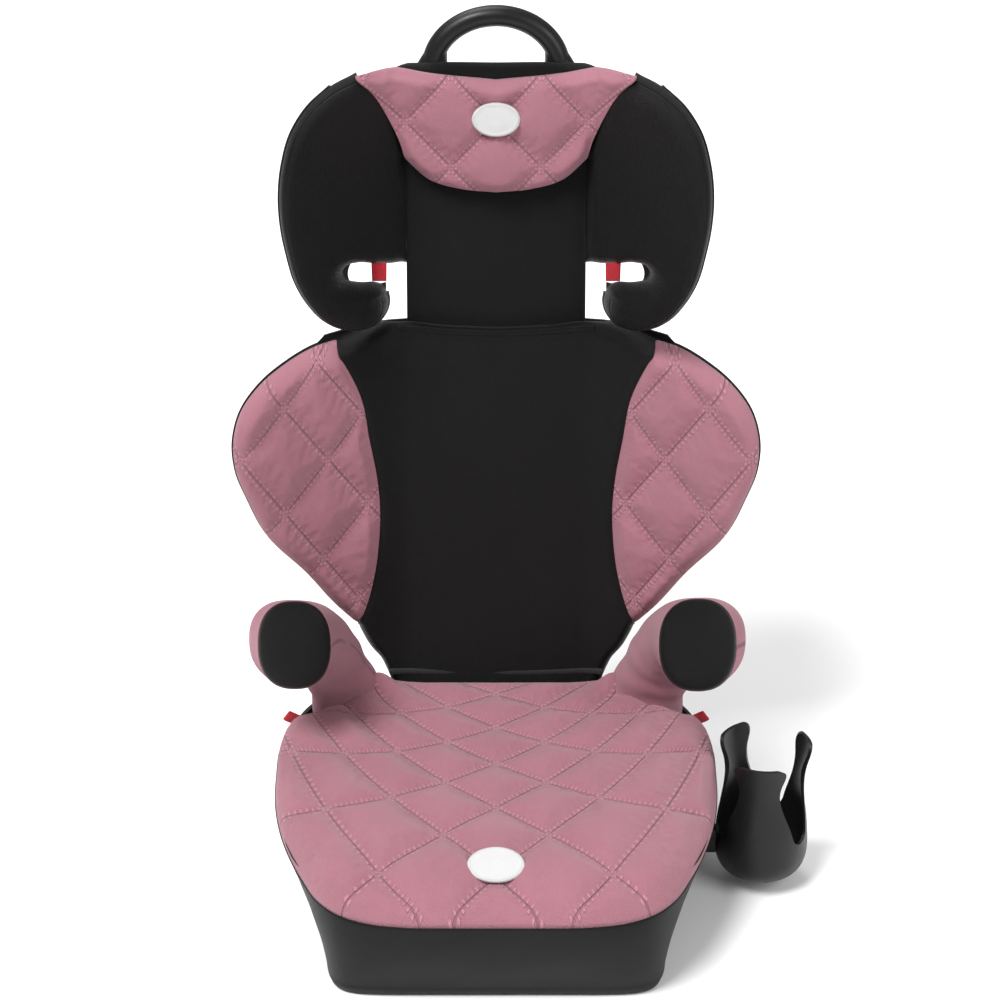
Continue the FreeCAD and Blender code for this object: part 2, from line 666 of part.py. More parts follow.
def release_lever():
    """Rocker: the finger pad above, the claw below that draws the leaf's catch out of the rack."""
    hub = rod((-8, LEVER_Y, LEVER_Z), (1, 0, 0), 16, 5.0)
    arm = box(-4, 4, LEVER_Y - 4, LEVER_Y + 3, LEVER_Z - 18, LEVER_Z)
    reach = box(-3.6, 3.6, LEAF_FRONT - 1.6, LEVER_Y, LEVER_Z - 19.6, LEVER_Z - 15)
    claw = box(-3.6, 3.6, LEAF_FRONT - 2.6, LEAF_FRONT - 0.4, LEVER_Z - 22.6, LEVER_Z - 15)
    stalk = box(-8, 8, LEVER_Y - 2, LEVER_Y + 4, LEVER_Z, LEVER_Z + 14)
    pad = box(-24, 24, LEVER_Y + 1, LEVER_Y + 6, LEVER_Z + 12, LEVER_Z + 38)
    pad = pad.makeFillet(2.2, [e for e in pad.Edges if e.Length < 20 or e.Length > 40])
    lever = hub.fuse(arm).fuse(reach).fuse(claw).fuse(stalk).fuse(pad)
    return lever.cut(rod((-30, LEVER_Y, LEVER_Z), (1, 0, 0), 60, 2.05)).removeSplitter()


# ---- headrest ---------------------------------------------------------------------------------------
HANDLE_Y = 30.0
HANDLE_SCREWS = [(x, z) for x in (-30, 30) for z in (502, 518)]
SHELL_HOLES = [(x, z) for x in (-40, 40) for z in (440, 490)]
RACK_SCREWS = [(0.0, 161.0), (0.0, 285.0)]


def head_shell():
    """One moulding: flat middle behind the stem and two deep wings with the belt slots."""
    low, high = 320, 560
    wing = shell_band(HEAD_SHELL, HEAD_SHELL[0], HEAD_SHELL[1], WALL, low, high)
    wing = wing.common(head_outline(5)).cut(belt_slot(3))
    front, rear = HEAD_SHELL[2], HEAD_SHELL[2] + WALL
    middle = box(0, HEAD_SHELL[0], front, rear, SLOT_HIGH + 6, HEAD_TOP_MID)
    half = middle.fuse(wing)
    shell = half.fuse(mirrored(half))
    for z in (410, 450, 490):
        rib = shell_band(HEAD_SHELL, HEAD_SHELL[0], HEAD_SHELL[1] - 8, WALL + 5, z - 1.2, z + 1.2)
        rib = rib.fuse(box(0, HEAD_SHELL[0], rear - 1, rear + 5, z - 1.2, z + 1.2))
        shell = shell.fuse(rib).fuse(mirrored(rib))
    for x in (25, 74):
        upright = box(x - 1.2, x + 1.2, rear - 1, rear + 5, SLOT_HIGH + 12, 494)
        shell = shell.fuse(upright).fuse(mirrored(upright))
    for x, z in HANDLE_SCREWS + SHELL_HOLES:
        shell = shell.cut(rod((x, 0, z), (0, 1, 0), 90, 2.1))
    return shell.removeSplitter()


def head_wing_pad():
    pad = wing_band(HEAD_FRONT, FIT, HEAD_SHELL, 0, STEM_HALF + 1, HEAD_FRONT[1], 320, 560)
    return pad.common(head_outline(0)).cut(belt_slot(0))


def head_stem():
    """Slider: wide foot that runs in the rails, narrower plate above it."""
    stem = box(-STEM_WIDE_HALF, STEM_WIDE_HALF, STEM_FRONT, STEM_REAR, STEM_BOTTOM, STEM_SHOULDER)
    stem = stem.fuse(box(-73, 73, STEM_FRONT, STEM_REAR, STEM_BOTTOM, HEAD_TOP_MID - 2))
    for x, z in SHELL_HOLES + HANDLE_SCREWS:
        stem = stem.cut(rod((x, 0, z), (0, 1, 0), 90, 1.6))
    for z in (120, 350, 400):
        stem = stem.cut(box(-45, 45, 0, 60, z - 11, z + 11))
    for x, z in RACK_SCREWS:
        stem = stem.cut(rod((x, 0, z), (0, 1, 0), 90, 1.1))
    return stem.removeSplitter()


def stem_rack():
    """Strip with one window for each height."""
    rack = box(-12, 12, STEM_REAR, STEM_REAR + 4, 155, 291)
    for step in range(int(TRAVEL / STEP) + 1):
        middle = CATCH_Z - 0.5 - step * STEP
        rack = rack.cut(box(-8, 8, 0, 60, middle - 4, middle + 4))
    for x, z in RACK_SCREWS:
        rack = rack.cut(rod((x, 0, z), (0, 1, 0), 90, 1.1))
        rack = rack.cut(rod((x, STEM_REAR + 2, z), (0, 1, 0), 90, 2.4))
    return rack


def rack_screws():
    return [screw((x, STEM_REAR + 2, z), (0, -1, 0), length=5.5, shank=1.05, head=2.3, head_height=1.6)
            for x, z in RACK_SCREWS]


def head_pad_top():
    pad = box(-STEM_HALF + 0.2, STEM_HALF - 0.2, 2, STEM_FRONT - 0.2, 433, HEAD_TOP_MID)
    return pad.makeFillet(5, [e for e in pad.Edges if e.BoundBox.YMax < 2.5])


def head_pad_lower():
    return box(-STEM_HALF + 0.7, STEM_HALF - 0.7, 14.5, STEM_FRONT - 0.2, 228, 432.6)


HANDLE_LEG = [
    # middle from the handle's own middle, height, half across, half deep
    (48, 556, 8.6, 8.5),
    (52, 546, 11, 9),
    (54.5, 535, 14.5, 9.5),
    (55, 507, 14.5, 9.5),
]


def carry_handle():
    """Arched grip on a foot plate behind the headrest."""
    half_span, rise, spring_z = 54.0, 46.0, 535.0
    path = Part.Ellipse(Vector(0, HANDLE_Y, spring_z), half_span, rise)
    path.Axis = Vector(0, -1, 0)
    path.XAxis = Vector(1, 0, 0)
    arch = Part.Wire(path.toShape(0, math.pi))
    section = Part.Ellipse(Vector(half_span, HANDLE_Y, spring_z), 10.0, 9.0)
    section.Axis = Vector(0, 0, 1)
    section.XAxis = Vector(0, 1, 0)
    grip = arch.makePipeShell([Part.Wire(section.toShape())], True, False)
    handle = grip
    for side in (-1, 1):
        wires = []
        for x, z, across, deep in HANDLE_LEG:
            outline = Part.Ellipse(Vector(side * x, HANDLE_Y, z), across, deep)
            outline.Axis = Vector(0, 0, 1)
            outline.XAxis = Vector(1, 0, 0)
            wires.append(Part.Wire(outline.toShape()))
        leg = Part.makeLoft(wires, True, False)
        handle = handle.fuse(leg)
    plate = box(-70, 70, HEAD_SHELL[2] + WALL, HEAD_SHELL[2] + WALL + 6, 496, 530)
    handle = handle.fuse(plate)
    handle = handle.cut(box(-90, 90, 0, HEAD_SHELL[2] + WALL, 480, HEAD_TOP_MID + 1))
    for x, z in HANDLE_SCREWS:
        handle = handle.cut(rod((x, 0, z), (0, 1, 0), 90, 2.1))
        handle = handle.cut(rod((x, HEAD_SHELL[2] + WALL + 6, z), (0, 1, 0), 30, 4.4))
    return handle.removeSplitter()


def handle_screws():
    y = HEAD_SHELL[2] + WALL + 6
    return [screw((x, y, z), (0, -1, 0), length=13.2, shank=1.5, head=4.0) for x, z in HANDLE_SCREWS]


def shell_screws():
    y = HEAD_SHELL[2] + WALL
    return [screw((x, y, z), (0, -1, 0), length=6.5, shank=1.5, head=3.6) for x, z in SHELL_HOLES]


def slot_tab():
    """Ribbon tab that hangs into the belt slot, right side."""
    x = 103.0
    y = wing_y(HEAD_FRONT, x) + 9
    return box(x - 6.5, x + 6.5, y, y + 2, SLOT_HIGH - 5, SLOT_HIGH)


# ---- assembly ---------------------------------------------------------------------------------------
def make_base():
    core, cover, end = armrests()
    horns = [arm_horn(0), mirrored(arm_horn(0))]
    skirt_block = base_block(0, 0, RIM_HEIGHT)
    shell = base_shell()
    save("base_shell", shell)
    save("seat_pan", seat_pan())
    save("pan_screws", *pan_screws())
    save("seat_cushion", seat_cushion(horns))
    save("base_skirt", base_skirt())
    save("armrest_core_right", core)
    save("armrest_core_left", mirrored(core))
    save("armrest_cover_right", cover)
    save("armrest_cover_left", mirrored(cover))
    save("armrest_end_pad_right", end)
    save("armrest_end_pad_left", mirrored(end))
    tab = belt_tab(*LAP_TAB)
    save("lap_belt_tab_right", tab)
    save("lap_belt_tab_left", mirrored(tab))
    save("grip_pads", foot_pads().common(box(-300, 300, -300, 300, 0, 50)))
    bracket = hinge_bracket()
    save("hinge_bracket_right", bracket)
    save("hinge_bracket_left", mirrored(bracket))
    save("bracket_screws", *bracket_screws())
    bumper = recline_bumper()
    save("recline_bumpers", bumper, mirrored(bumper))
    save("cup_rail", cup_rail(skirt_block))
    save("cup_holder", cup_holder())


def make_rod():
    bar = rod((-93, HINGE_Y, HINGE_Z), (1, 0, 0), 186, ROD_R)
    save("hinge_rod", bar)
    caps = []
    for side in (-1, 1):
        x = 86.5 if side > 0 else -86.5
        ring_ = rod((x, HINGE_Y, HINGE_Z), (side, 0, 0), 3, 9).cut(
            rod((x, HINGE_Y, HINGE_Z), (side, 0, 0), 3, ROD_R))
        caps.append(ring_)
    save("rod_clips", *caps)


def make_back():
    save("back_shell", leaned(back_shell()))
    save("back_pad", leaned(back_pad()))
    wing = leaned(back_wing_pad())
    for horn in arm_clearance():
        wing = wing.cut(horn)
    save("back_wing_pad_right", wing)
    save("back_wing_pad_left", mirrored(wing))
    rail = leaned(guide_rail())
    save("guide_rail_right", rail)
    save("guide_rail_left", mirrored(rail))
    save("rail_screws", *[leaned(s) for s in rail_screws()])
    hook = leaned(back_hook())
    save("back_hook_right", hook)
    save("back_hook_left", mirrored(hook))
    save("hook_screws", *[leaned(s) for s in hook_screws()])
    save("latch_spring", leaned(latch_spring()))
    save("latch_screws", leaned(latch_screw()), *[leaned(s) for s in bracket_pins()])
    save("lever_bracket", leaned(lever_bracket()))
    save("lever_pin", *[leaned(s) for s in lever_pin()])
    save("lever_spring", leaned(lever_spring()))
    save("release_lever", leaned(release_lever()))


def make_head():
    save("head_shell", leaned(head_shell()))
    save("head_stem", leaned(head_stem()))
    save("stem_rack", leaned(stem_rack()))
    save("rack_screws", *[leaned(s) for s in rack_screws()])
    save("head_pad_top", leaned(head_pad_top()))
    save("head_pad_lower", leaned(head_pad_lower()))
    wing = leaned(head_wing_pad())
    save("head_wing_pad_right", wing)
    save("head_wing_pad_left", mirrored(wing))
    save("carry_handle", leaned(carry_handle()))
    save("handle_screws", *[leaned(s) for s in handle_screws()])
    save("shell_screws", *[leaned(s) for s in shell_screws()])
    tab = leaned(slot_tab())
    save("shoulder_belt_tab_right", tab)
    save("shoulder_belt_tab_left", mirrored(tab))


os.makedirs(OUT, exist_ok=True)
make_base()
make_rod()
make_back()
make_head()
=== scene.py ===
"""Covers, cushions and finishes of a high-back booster seat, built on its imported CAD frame.

Lengths are millimetres until a mesh is made. The backrest and headrest pieces are drawn in the back's own
frame: x across, t rearward from the back cushion's front face, s up along the back.
"""

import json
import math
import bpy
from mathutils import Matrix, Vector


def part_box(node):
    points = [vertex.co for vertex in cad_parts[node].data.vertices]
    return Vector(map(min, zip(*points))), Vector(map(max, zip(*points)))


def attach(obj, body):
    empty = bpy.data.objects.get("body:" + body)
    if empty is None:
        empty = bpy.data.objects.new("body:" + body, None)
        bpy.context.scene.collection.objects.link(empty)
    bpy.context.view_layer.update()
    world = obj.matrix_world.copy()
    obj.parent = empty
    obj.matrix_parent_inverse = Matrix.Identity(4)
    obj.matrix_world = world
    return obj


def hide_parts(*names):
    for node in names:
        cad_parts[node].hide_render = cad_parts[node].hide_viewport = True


bl_info = {
    "name": "Booster seat covers",
    "version": (1, 0, 0),
    "blender": (4, 5, 0),
    "location": "3D View > Sidebar > Booster",
    "description": "Quilted covers, padded wings and finishes for a high-back booster seat",
    "category": "Object",
}

import bpy
import numpy as np
from bpy.props import FloatProperty, FloatVectorProperty, PointerProperty
from mathutils import Vector
from mathutils.geometry import delaunay_2d_cdt

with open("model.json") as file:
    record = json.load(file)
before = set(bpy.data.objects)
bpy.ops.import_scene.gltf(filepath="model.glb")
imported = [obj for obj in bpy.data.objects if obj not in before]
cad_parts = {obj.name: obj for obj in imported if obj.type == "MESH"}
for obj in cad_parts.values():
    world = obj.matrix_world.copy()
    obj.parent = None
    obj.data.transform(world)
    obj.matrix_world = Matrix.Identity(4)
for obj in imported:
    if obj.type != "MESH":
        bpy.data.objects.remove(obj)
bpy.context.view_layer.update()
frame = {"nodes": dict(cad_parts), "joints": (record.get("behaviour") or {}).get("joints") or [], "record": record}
JOINTS = {joint["name"]: joint for joint in frame["joints"]}
LEAN_Y, LEAN_Z = JOINTS["headrest_height"]["axis"][1:]
BACK_FACING = (0, -LEAN_Z, LEAN_Y)

# ---- the back's own frame and the curves its pieces share ---------------------------------------------
FOOT_Y, FOOT_Z = 143.0, 125.0
# start of the curve, half width, t at the middle, rise towards the front, power
BACK_FRONT = (75.0, 221.0, 0.0, 97.0, 1.5)
BACK_SHELL = (93.0, 224.0, 27.0, 102.0, 1.5)
HEAD_FRONT = (70.0, 180.0, 14.0, 129.0, 1.15)
HEAD_SHELL = (82.0, 184.0, 23.0, 114.0, 1.15)
YOKE_FRONT = 2.0
STEM_FRONT = 14.5
STEM_HALF = 76.0
HEAD_PATCH_UP = 500.5
HEM_DEPTH = 11.5  # how far back the top edge of the back panel turns, in front of the headrest's stem

WING_SEAM = [(137, 306), (127.5, 288), (115, 257), (109, 220), (103, 183), (101, 160), (102, 125), (106, 95),
             (113, 68), (123, 43)]
WING_EDGE = [(123, 43), (141, 65), (166, 103), (198, 149.5), (211, 184), (220, 215), (221, 243), (214, 266),
             (199, 283), (178, 295.5), (156, 303.5), (137, 306)]
PANEL_TOP = [(137, 306), (124, 310), (109, 315), (95, 319), (82, 320.5), (45, 317), (0, 315)]
PANEL_FOOT = [(0, -38), (84, -38)]
PANEL_TAPER = [(84, -38), (97, -5), (104, 9), (112, 20), (123, 43)]

YOKE_TOP = [(116, 541.5), (92, 542.5), (55, 536.5), (0, 531)]
YOKE_SIDE = [(76.5, 464), (80, 478), (88, 498), (101, 523), (116, 541.5)]
YOKE_FOOT = [(0, 435), (30, 438), (56, 446), (76.5, 464)]
HEAD_EDGE = [(93, 345), (92, 337), (94.5, 328), (102, 320.5), (114, 319), (130, 325), (144, 337), (156, 355),
             (166, 378), (172, 404), (176, 430), (177, 455), (174, 482), (167, 505), (155, 522), (137, 535),
             (116, 541.5)]
SLOT_EDGE = [(76.5, 367), (82, 370), (90, 371.5), (103, 375), (117, 380), (126, 380), (129, 375.5),
             (127, 368.5), (115, 361), (103, 357.5), (96, 352.5), (93, 345)]
HEAD_CREASE = [(76.5, 464), (76.5, 420), (76.5, 367)]

# ---- the seat's plan ----------------------------------------------------------------------------------
SEAT_REAR = [(0, 134), (60, 134), (100, 133), (109, 127), (117, 118), (137, 104), (158, 94), (178, 86)]
SEAT_EDGE = [(178, 86), (186, 62), (188.5, 18), (187, -22), (181, -58), (173, -86), (160, -119), (147, -145),
             (130, -163), (107, -174.5), (76, -180), (40, -181), (0, -181)]
SEAM_HEIGHTS = ((-181, 87), (-100, 90), (0, 96), (60, 102), (97, 109), (134, 118))
SEAT_PATCH_Y = -143.0
SEAM_RISE = 12.0  # height of the tight roll over the cushion's seam
SHOULDER_X, SHOULDER_Y, SHOULDER_RISE = 106.0, 124.0, 15.0

# ---- the base's outline at the floor ------------------------------------------------------------------
FLOOR_HALF_WIDTH = 141.0
FLOOR_FRONT = -158.0
BASE_REAR = 180.0
BASE_MIDDLE = 15.0
FRONT_POWER, REAR_POWER = 11.0, 3.5  # how square the corners are
SKIRT_STRETCH = 1.18  # the skirt's ends reach this much further round at the floor than at the seam
SKIRT_BULGE = 5.4

ARM_SECTIONS = [
    # centre, direction of the horn, half across, half the other way
    ((135, 124, 96), (0.08, 0, 1), 27.5, 27),
    ((138, 124, 126), (0.15, -0.1, 1), 27, 27),
    ((149, 114, 163), (0.3, -0.45, 0.85), 28, 28),
    ((163, 92, 191), (0.25, -0.85, 0.55), 31, 31),
    ((174, 63, 208), (0.1, -0.95, 0.35), 37, 35),
    ((170.5, 38, 219), (0, -0.925, 0.381), 31, 38),
]

# ---- how the quilted covers are blown out -------------------------------------------------------------
LINE_HALF_WIDTH = 1.6
COVER_PRESSURE = 3.0
COVER_FRAMES = 12
COVER_SLACK = 0.015
COVER_RISE = 3.0  # the most that a point may move

# ---- studio -------------------------------------------------------------------------------------------
WORLD_STRENGTH = 0.4
KEY_ANGLE = 0.42
LAMPS = (
    # name, kind, place and aim in metres, power
    ("key", "SUN", (-1.2, -1.1, 3.0), (0, 0, 0.35), 3.5),
    ("fill", "AREA", (1.9, -1.4, 1.9), (0, 0, 0.3), 34),
    ("rim", "AREA", (-0.6, 1.6, 2.6), (0, 0.1, 0.4), 34),
)
LAMP_SIZE = 1.8
CAMERA_ELEVATION = 30.0
CAMERA_TARGET = (3.3, 110.0, 319.0)
CAMERA_DISTANCE = 2800.0
CAMERA_LENS = 118.7


# ---- small tools --------------------------------------------------------------------------------------
def settings():
    return bpy.context.scene.booster_seat


def mesh_spacing():
    """Spacing of the cloth meshes' points, in millimetres."""
    return settings().mesh_step * 1000


def in_row(points):
    """From the back's own frame to the row frame."""
    x, t, s = np.asarray(points, float).T
    return np.stack([x, FOOT_Y + t * LEAN_Z + s * LEAN_Y, FOOT_Z - t * LEAN_Y + s * LEAN_Z], axis=1)


def wing(x, curve):
    start, half, middle, rise, power = curve
    return middle - rise * np.clip((np.abs(x) - start) / (half - start), 0, None) ** power


def smoothstep(value, low, high):
    t = np.clip((value - low) / (high - low), 0, 1)
    return t * t * (3 - 2 * t)


def hermite(a, b, slope_a, slope_b, length, u):
    """The smooth stretch from a to b that has these slopes at its ends."""
    return ((2 * u**3 - 3 * u**2 + 1) * a + (u**3 - 2 * u**2 + u) * length * slope_a
            + (3 * u**2 - 2 * u**3) * b + (u**3 - u**2) * length * slope_b)


def flow(points, spacing):
    """A smooth curve through the points, evenly spaced, both ends kept."""
    p = np.asarray(points, float)
    if len(p) > 2:
        chord = np.r_[0, np.cumsum(np.linalg.norm(np.diff(p, axis=0), axis=1))]
        slope = np.gradient(p, chord, axis=0)
        dense = []
        for i in range(len(p) - 1):
            length = chord[i + 1] - chord[i]
            u = np.linspace(0, 1, 24, endpoint=False)[:, None]
            dense.append(hermite(p[i], p[i + 1], slope[i], slope[i + 1], length, u))
        p = np.vstack(dense + [p[-1:]])
    walked = np.r_[0, np.cumsum(np.linalg.norm(np.diff(p, axis=0), axis=1))]
    count = max(2, int(round(walked[-1] / spacing)) + 1)
    at = np.linspace(0, walked[-1], count)
    return np.stack([np.interp(at, walked, p[:, k]) for k in range(p.shape[1])], axis=1)


def flipped(points):
    """The same run on the other side, walked the other way."""
    return [(-q[0], *q[1:]) for q in reversed(points)]


def nearest(points, a, b):
    """Distance from each point to the nearest of the segments a-b."""
    best = np.full(len(points), 1e9)
    for start in range(0, len(points), 2000):
        p = points[start:start + 2000, None, :]
        along = (b - a)[None]
        t = ((p - a[None]) * along).sum(2) / np.maximum((along**2).sum(2), 1e-12)
        gap = p - (a[None] + np.clip(t, 0, 1)[..., None] * along)
        best[start:start + 2000] = np.sqrt((gap**2).sum(2)).min(1)
    return best


def inside(points, ring):
    """Which points lie inside a closed ring."""
    x, y = points.T
    hit = np.zeros(len(points), bool)
    for (x0, y0), (x1, y1) in zip(ring, np.roll(ring, -1, axis=0)):
        crosses = (y0 > y) != (y1 > y)
        if y1 != y0:
            hit ^= crosses & (x < (x1 - x0) * (y - y0) / (y1 - y0) + x0)
    return hit


class Outline:
    """A closed outline made of named runs, walked anticlockwise."""

    def __init__(self, runs, spacing):
        self.spacing = spacing
        curves = [(name, flow(points, spacing)) for name, points in runs]
        self.ring = np.vstack([c[:-1] for _, c in curves])
        self.runs = {}
        for name, c in curves:
            self.runs.setdefault(name, []).append(c)
        ahead = np.roll(self.ring, -1, axis=0) - np.roll(self.ring, 1, axis=0)
        ahead /= np.linalg.norm(ahead, axis=1)[:, None]
        self.inward = np.stack([-ahead[:, 1], ahead[:, 0]], axis=1)

    def distance(self, points, *names):
        found = [nearest(points, c[:-1], c[1:]) for n in names for c in self.runs.get(n, [])]
        return np.min(found, axis=0) if found else np.full(len(points), 1e3)

    def fill(self, close_rings=(0.5, 1.4, 2.8, 4.8)):
        """Points and triangles that fill the outline, closer together along its edge."""
        ring, spacing = self.ring, self.spacing
        a, b = ring, np.roll(ring, -1, axis=0)
        layers = [ring]
        for depth in close_rings:
            q = ring + self.inward * depth
            q = q[inside(q, ring)]
            layers.append(q[nearest(q, a, b) > 0.93 * depth])
        low, high = ring.min(0), ring.max(0)
        rows = np.arange(low[1], high[1], spacing * 0.866)
        grid = []
        for i, y in enumerate(rows):
            x = np.arange(low[0] + (i % 2) * spacing / 2, high[0], spacing)
            grid.append(np.stack([x, np.full(len(x), y)], axis=1))
        grid = np.vstack(grid)
        grid = grid[inside(grid, ring)]
        layers.append(grid[nearest(grid, a, b) > close_rings[-1] + 0.6 * spacing])
        points = [Vector(p) for p in np.vstack(layers)]
        edges = [(i, (i + 1) % len(ring)) for i in range(len(ring))]
        out, _, faces, *_ = delaunay_2d_cdt(points, edges, [], 1, 1e-5)
        flat = np.array([tuple(p) for p in out])
        return flat, [list(f) for f in faces]


def make_mesh(name, points, faces, weave=None, quilt=None, smooth=True, rim=None):
    """An object from points in millimetres, with its cloth and quilting coordinates."""
    mesh = bpy.data.meshes.new(name)
    mesh.from_pydata((np.asarray(points) * 0.001).tolist(), [], faces)
    mesh.update()
    if weave is not None:
        add_attribute(mesh, "weave", weave)
    if quilt is not None:
        add_attribute(mesh, "quilt", quilt[:, :3])
        add_attribute(mesh, "quilt_pitch", np.c_[quilt[:, 3:], np.zeros(len(quilt))])
    if rim is not None:
        add_attribute(mesh, "rim", np.c_[rim, rim])
    if smooth:
        mesh.polygons.foreach_set("use_smooth", [True] * len(mesh.polygons))
    piece = bpy.data.objects.new(name, mesh)
    bpy.context.scene.collection.objects.link(piece)
    return piece


def add_attribute(mesh, name, values):
    """Three numbers for each vertex, which the materials read."""
    values = np.asarray(values, float)
    if values.shape[1] == 2:
        values = np.c_[values, np.zeros(len(values))]
    layer = mesh.attributes.new(name, "FLOAT_VECTOR", "POINT")
    layer.data.foreach_set("vector", values.astype(np.float32).ravel())


def thicken(piece, amount):
    """Cloth thickness, grown inwards from the drawn face."""
    solid = piece.modifiers.new("thickness", "SOLIDIFY")
    solid.thickness = amount * 0.001
    solid.offset = -1.0
    return piece


def dress(piece, material, body, replaces=()):
    """Finish, body, material slot and the CAD nodes that a piece stands for."""
    piece.data.materials.clear()
    piece.data.materials.append(material)
    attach(piece, body)
    if replaces:
        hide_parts(*replaces)
    return piece


def grid_faces(rows, columns, closed=False):
    faces = []
    for i in range(rows - 1):
        for j in range(columns if closed else columns - 1):
            k = (j + 1) % columns
            faces.append([i * columns + j, i * columns + k, (i + 1) * columns + k, (i + 1) * columns + j])
    return faces


def rolled_hem(name, path, radius, normal, flat=0.6, sides=12):
    """A rolled hem along a path, with rounded ends; flat squashes it along its normal."""
    path = np.asarray(path, float)
    ahead = np.gradient(path, axis=0)
    ahead /= np.linalg.norm(ahead, axis=1)[:, None]
    up = np.tile(np.array(normal), (len(path), 1))
    side = np.cross(ahead, up)
    side /= np.linalg.norm(side, axis=1)[:, None]
    up = np.cross(side, ahead)
    steps = np.r_[0, np.cumsum(np.linalg.norm(np.diff(path, axis=0), axis=1))]
    points, weave = [], []
    ends = [(0, 0.0), (0, 0.6), (0, 0.9)] + [(i, 1.0) for i in range(len(path))]
    ends += [(len(path) - 1, 0.9), (len(path) - 1, 0.6), (len(path) - 1, 0.0)]
    for rank, (i, size) in enumerate(ends):
        bulge = math.sqrt(max(0.0, 1 - size * size)) * radius
        centre = path[i] + ahead[i] * (-bulge if rank < 3 else bulge)
        for j in range(sides):
            angle = 2 * math.pi * j / sides
            points.append(centre + radius * max(size, 0.02) * (math.cos(angle) * side[i]
                                                               + flat * math.sin(angle) * up[i]))
            weave.append((steps[i], radius * angle))
    faces = grid_faces(len(ends), sides, closed=True)
    faces.append(list(range(sides)))
    faces.append([(len(ends) - 1) * sides + j for j in reversed(range(sides))])
    faces = [f[::-1] for f in faces]
    return make_mesh(name, points, faces, weave=np.array(weave))


def sewn_down(quilt, *edges):
    """Which points are held: those along the sewn lines, and those within a width of an edge."""
    held = np.minimum(*to_line(quilt)) < LINE_HALF_WIDTH
    for distance, width in edges:
        held |= distance < width
    return held


def inflate(piece, held):
    """Blows a sewn cover out between the points that hold it, by cloth simulation."""
    group = piece.vertex_groups.new(name="sewn")
    group.add(np.flatnonzero(held).tolist(), 1.0, "REPLACE")
    cloth = piece.modifiers.new("cloth", "CLOTH")
    cloth.settings.vertex_group_mass = "sewn"
    cloth.settings.quality = 4
    cloth.settings.mass = 0.2
    cloth.settings.tension_stiffness = 12
    cloth.settings.compression_stiffness = 12
    cloth.settings.bending_stiffness = 0.4
    cloth.settings.shrink_min = -COVER_SLACK
    cloth.settings.use_pressure = True
    cloth.settings.uniform_pressure_force = COVER_PRESSURE
    cloth.settings.effector_weights.gravity = 0
    cloth.collision_settings.use_collision = False
    cloth.point_cache.frame_start = 1
    cloth.point_cache.frame_end = COVER_FRAMES
    scene = bpy.context.scene
    for i in range(1, COVER_FRAMES + 1):
        scene.frame_set(i)
    shaped = piece.evaluated_get(bpy.context.evaluated_depsgraph_get()).to_mesh()
    count = len(piece.data.vertices)
    rest, moved = np.zeros(count * 3), np.zeros(count * 3)
    piece.data.vertices.foreach_get("co", rest)
    shaped.vertices.foreach_get("co", moved)
    rest, moved = rest.reshape(-1, 3), moved.reshape(-1, 3)
    shift = moved - rest
    length = np.linalg.norm(shift, axis=1)
    limit = COVER_RISE * 0.001
    shift *= (limit * np.tanh(length / limit) / np.maximum(length, 1e-9))[:, None]
    piece.modifiers.remove(cloth)
    piece.vertex_groups.clear()
    piece.data.vertices.foreach_set("co", (rest + shift).ravel())
    piece.data.update()
    scene.frame_set(1)
    return piece


# ---- quilting -----------------------------------------------------------------------------------------
def wing_arc(x, curve):
    """Length along the wing's curve from the middle, so that a pattern isn't stretched."""
    xs = np.linspace(0, 260, 2601)
    walked = np.r_[0, np.cumsum(np.hypot(np.diff(xs), np.diff(wing(xs, curve))))]
    return np.interp(np.abs(x), xs, walked)


def seat_lattice(x, y):
    """Two crossing families of sewn lines, at whole numbers; closer together towards the rear."""
    x, y = x / 100, (y - 0.013 * np.clip(-y - 145, 0, 40) ** 2) / 100
    middle = 1.865 + 1.608 * y - 0.342 * x**2 + 0.238 * y**2 - 0.218 * x**2 * y - 0.012 * x**4
    across = 1.194 * x + 0.012 * x * y - 0.033 * x**3 - 0.018 * x * y**2 + 0.047 * x**3 * y
    return middle + across, middle - across


def wing_lattice(u, s):
    u, s = u / 100, s / 100
    falling = -0.149 - 1.396 * u + 1.021 * s + 0.211 * u**2 - 0.334 * u * s + 0.159 * s**2
    rising = 6.063 - 1.854 * u - 1.577 * s + 0.212 * u**2 + 0.055 * u * s + 0.091 * s**2
    return falling, rising


def yoke_lattice(x, s):
    up, across = (s - 498.0) / 79.0, x / 76.0
    return up + across, up - across


def quilting(lattice, p, q):
    """Lattice coordinates of each point, and the pitch of each family in millimetres."""
    a, b = lattice(p, q)
    step = 0.5
    pitch = []
    for k in (0, 1):
        dp = (lattice(p + step, q)[k] - lattice(p - step, q)[k]) / (2 * step)
        dq = (lattice(p, q + step)[k] - lattice(p, q - step)[k]) / (2 * step)
        pitch.append(1 / np.hypot(dp, dq))
    return np.stack([a, b, np.zeros_like(a), pitch[0], pitch[1]], axis=1)


def to_line(quilt):
    """Distance in millimetres to the nearest sewn line of each family."""
    gaps = []
    for k in (0, 1):
        gaps.append(np.abs(quilt[:, k] - np.round(quilt[:, k])) * quilt[:, 3 + k])
    return gaps


def puff(quilt, height, channel=8.0, pucker=0.3, stitch=8.0):
    """Height of the padding between sewn lines, with small puckers square to each line."""
    near = to_line(quilt)
    pillow = np.ones(len(quilt))
    for gap in near:
        pillow *= 1 - np.exp(-(np.sqrt(gap**2 + 1.4) - 1.183) / channel)
    ripple = np.zeros(len(quilt))
    for k in (0, 1):
        along = quilt[:, 1 - k] * quilt[:, 3 + (1 - k)]
        band = np.exp(-((near[k] - 4.5) / 3.0) ** 2)
        ripple += band * np.cos(2 * math.pi * along / stitch + 3 * np.round(quilt[:, k]))
    return height * pillow + pucker * ripple


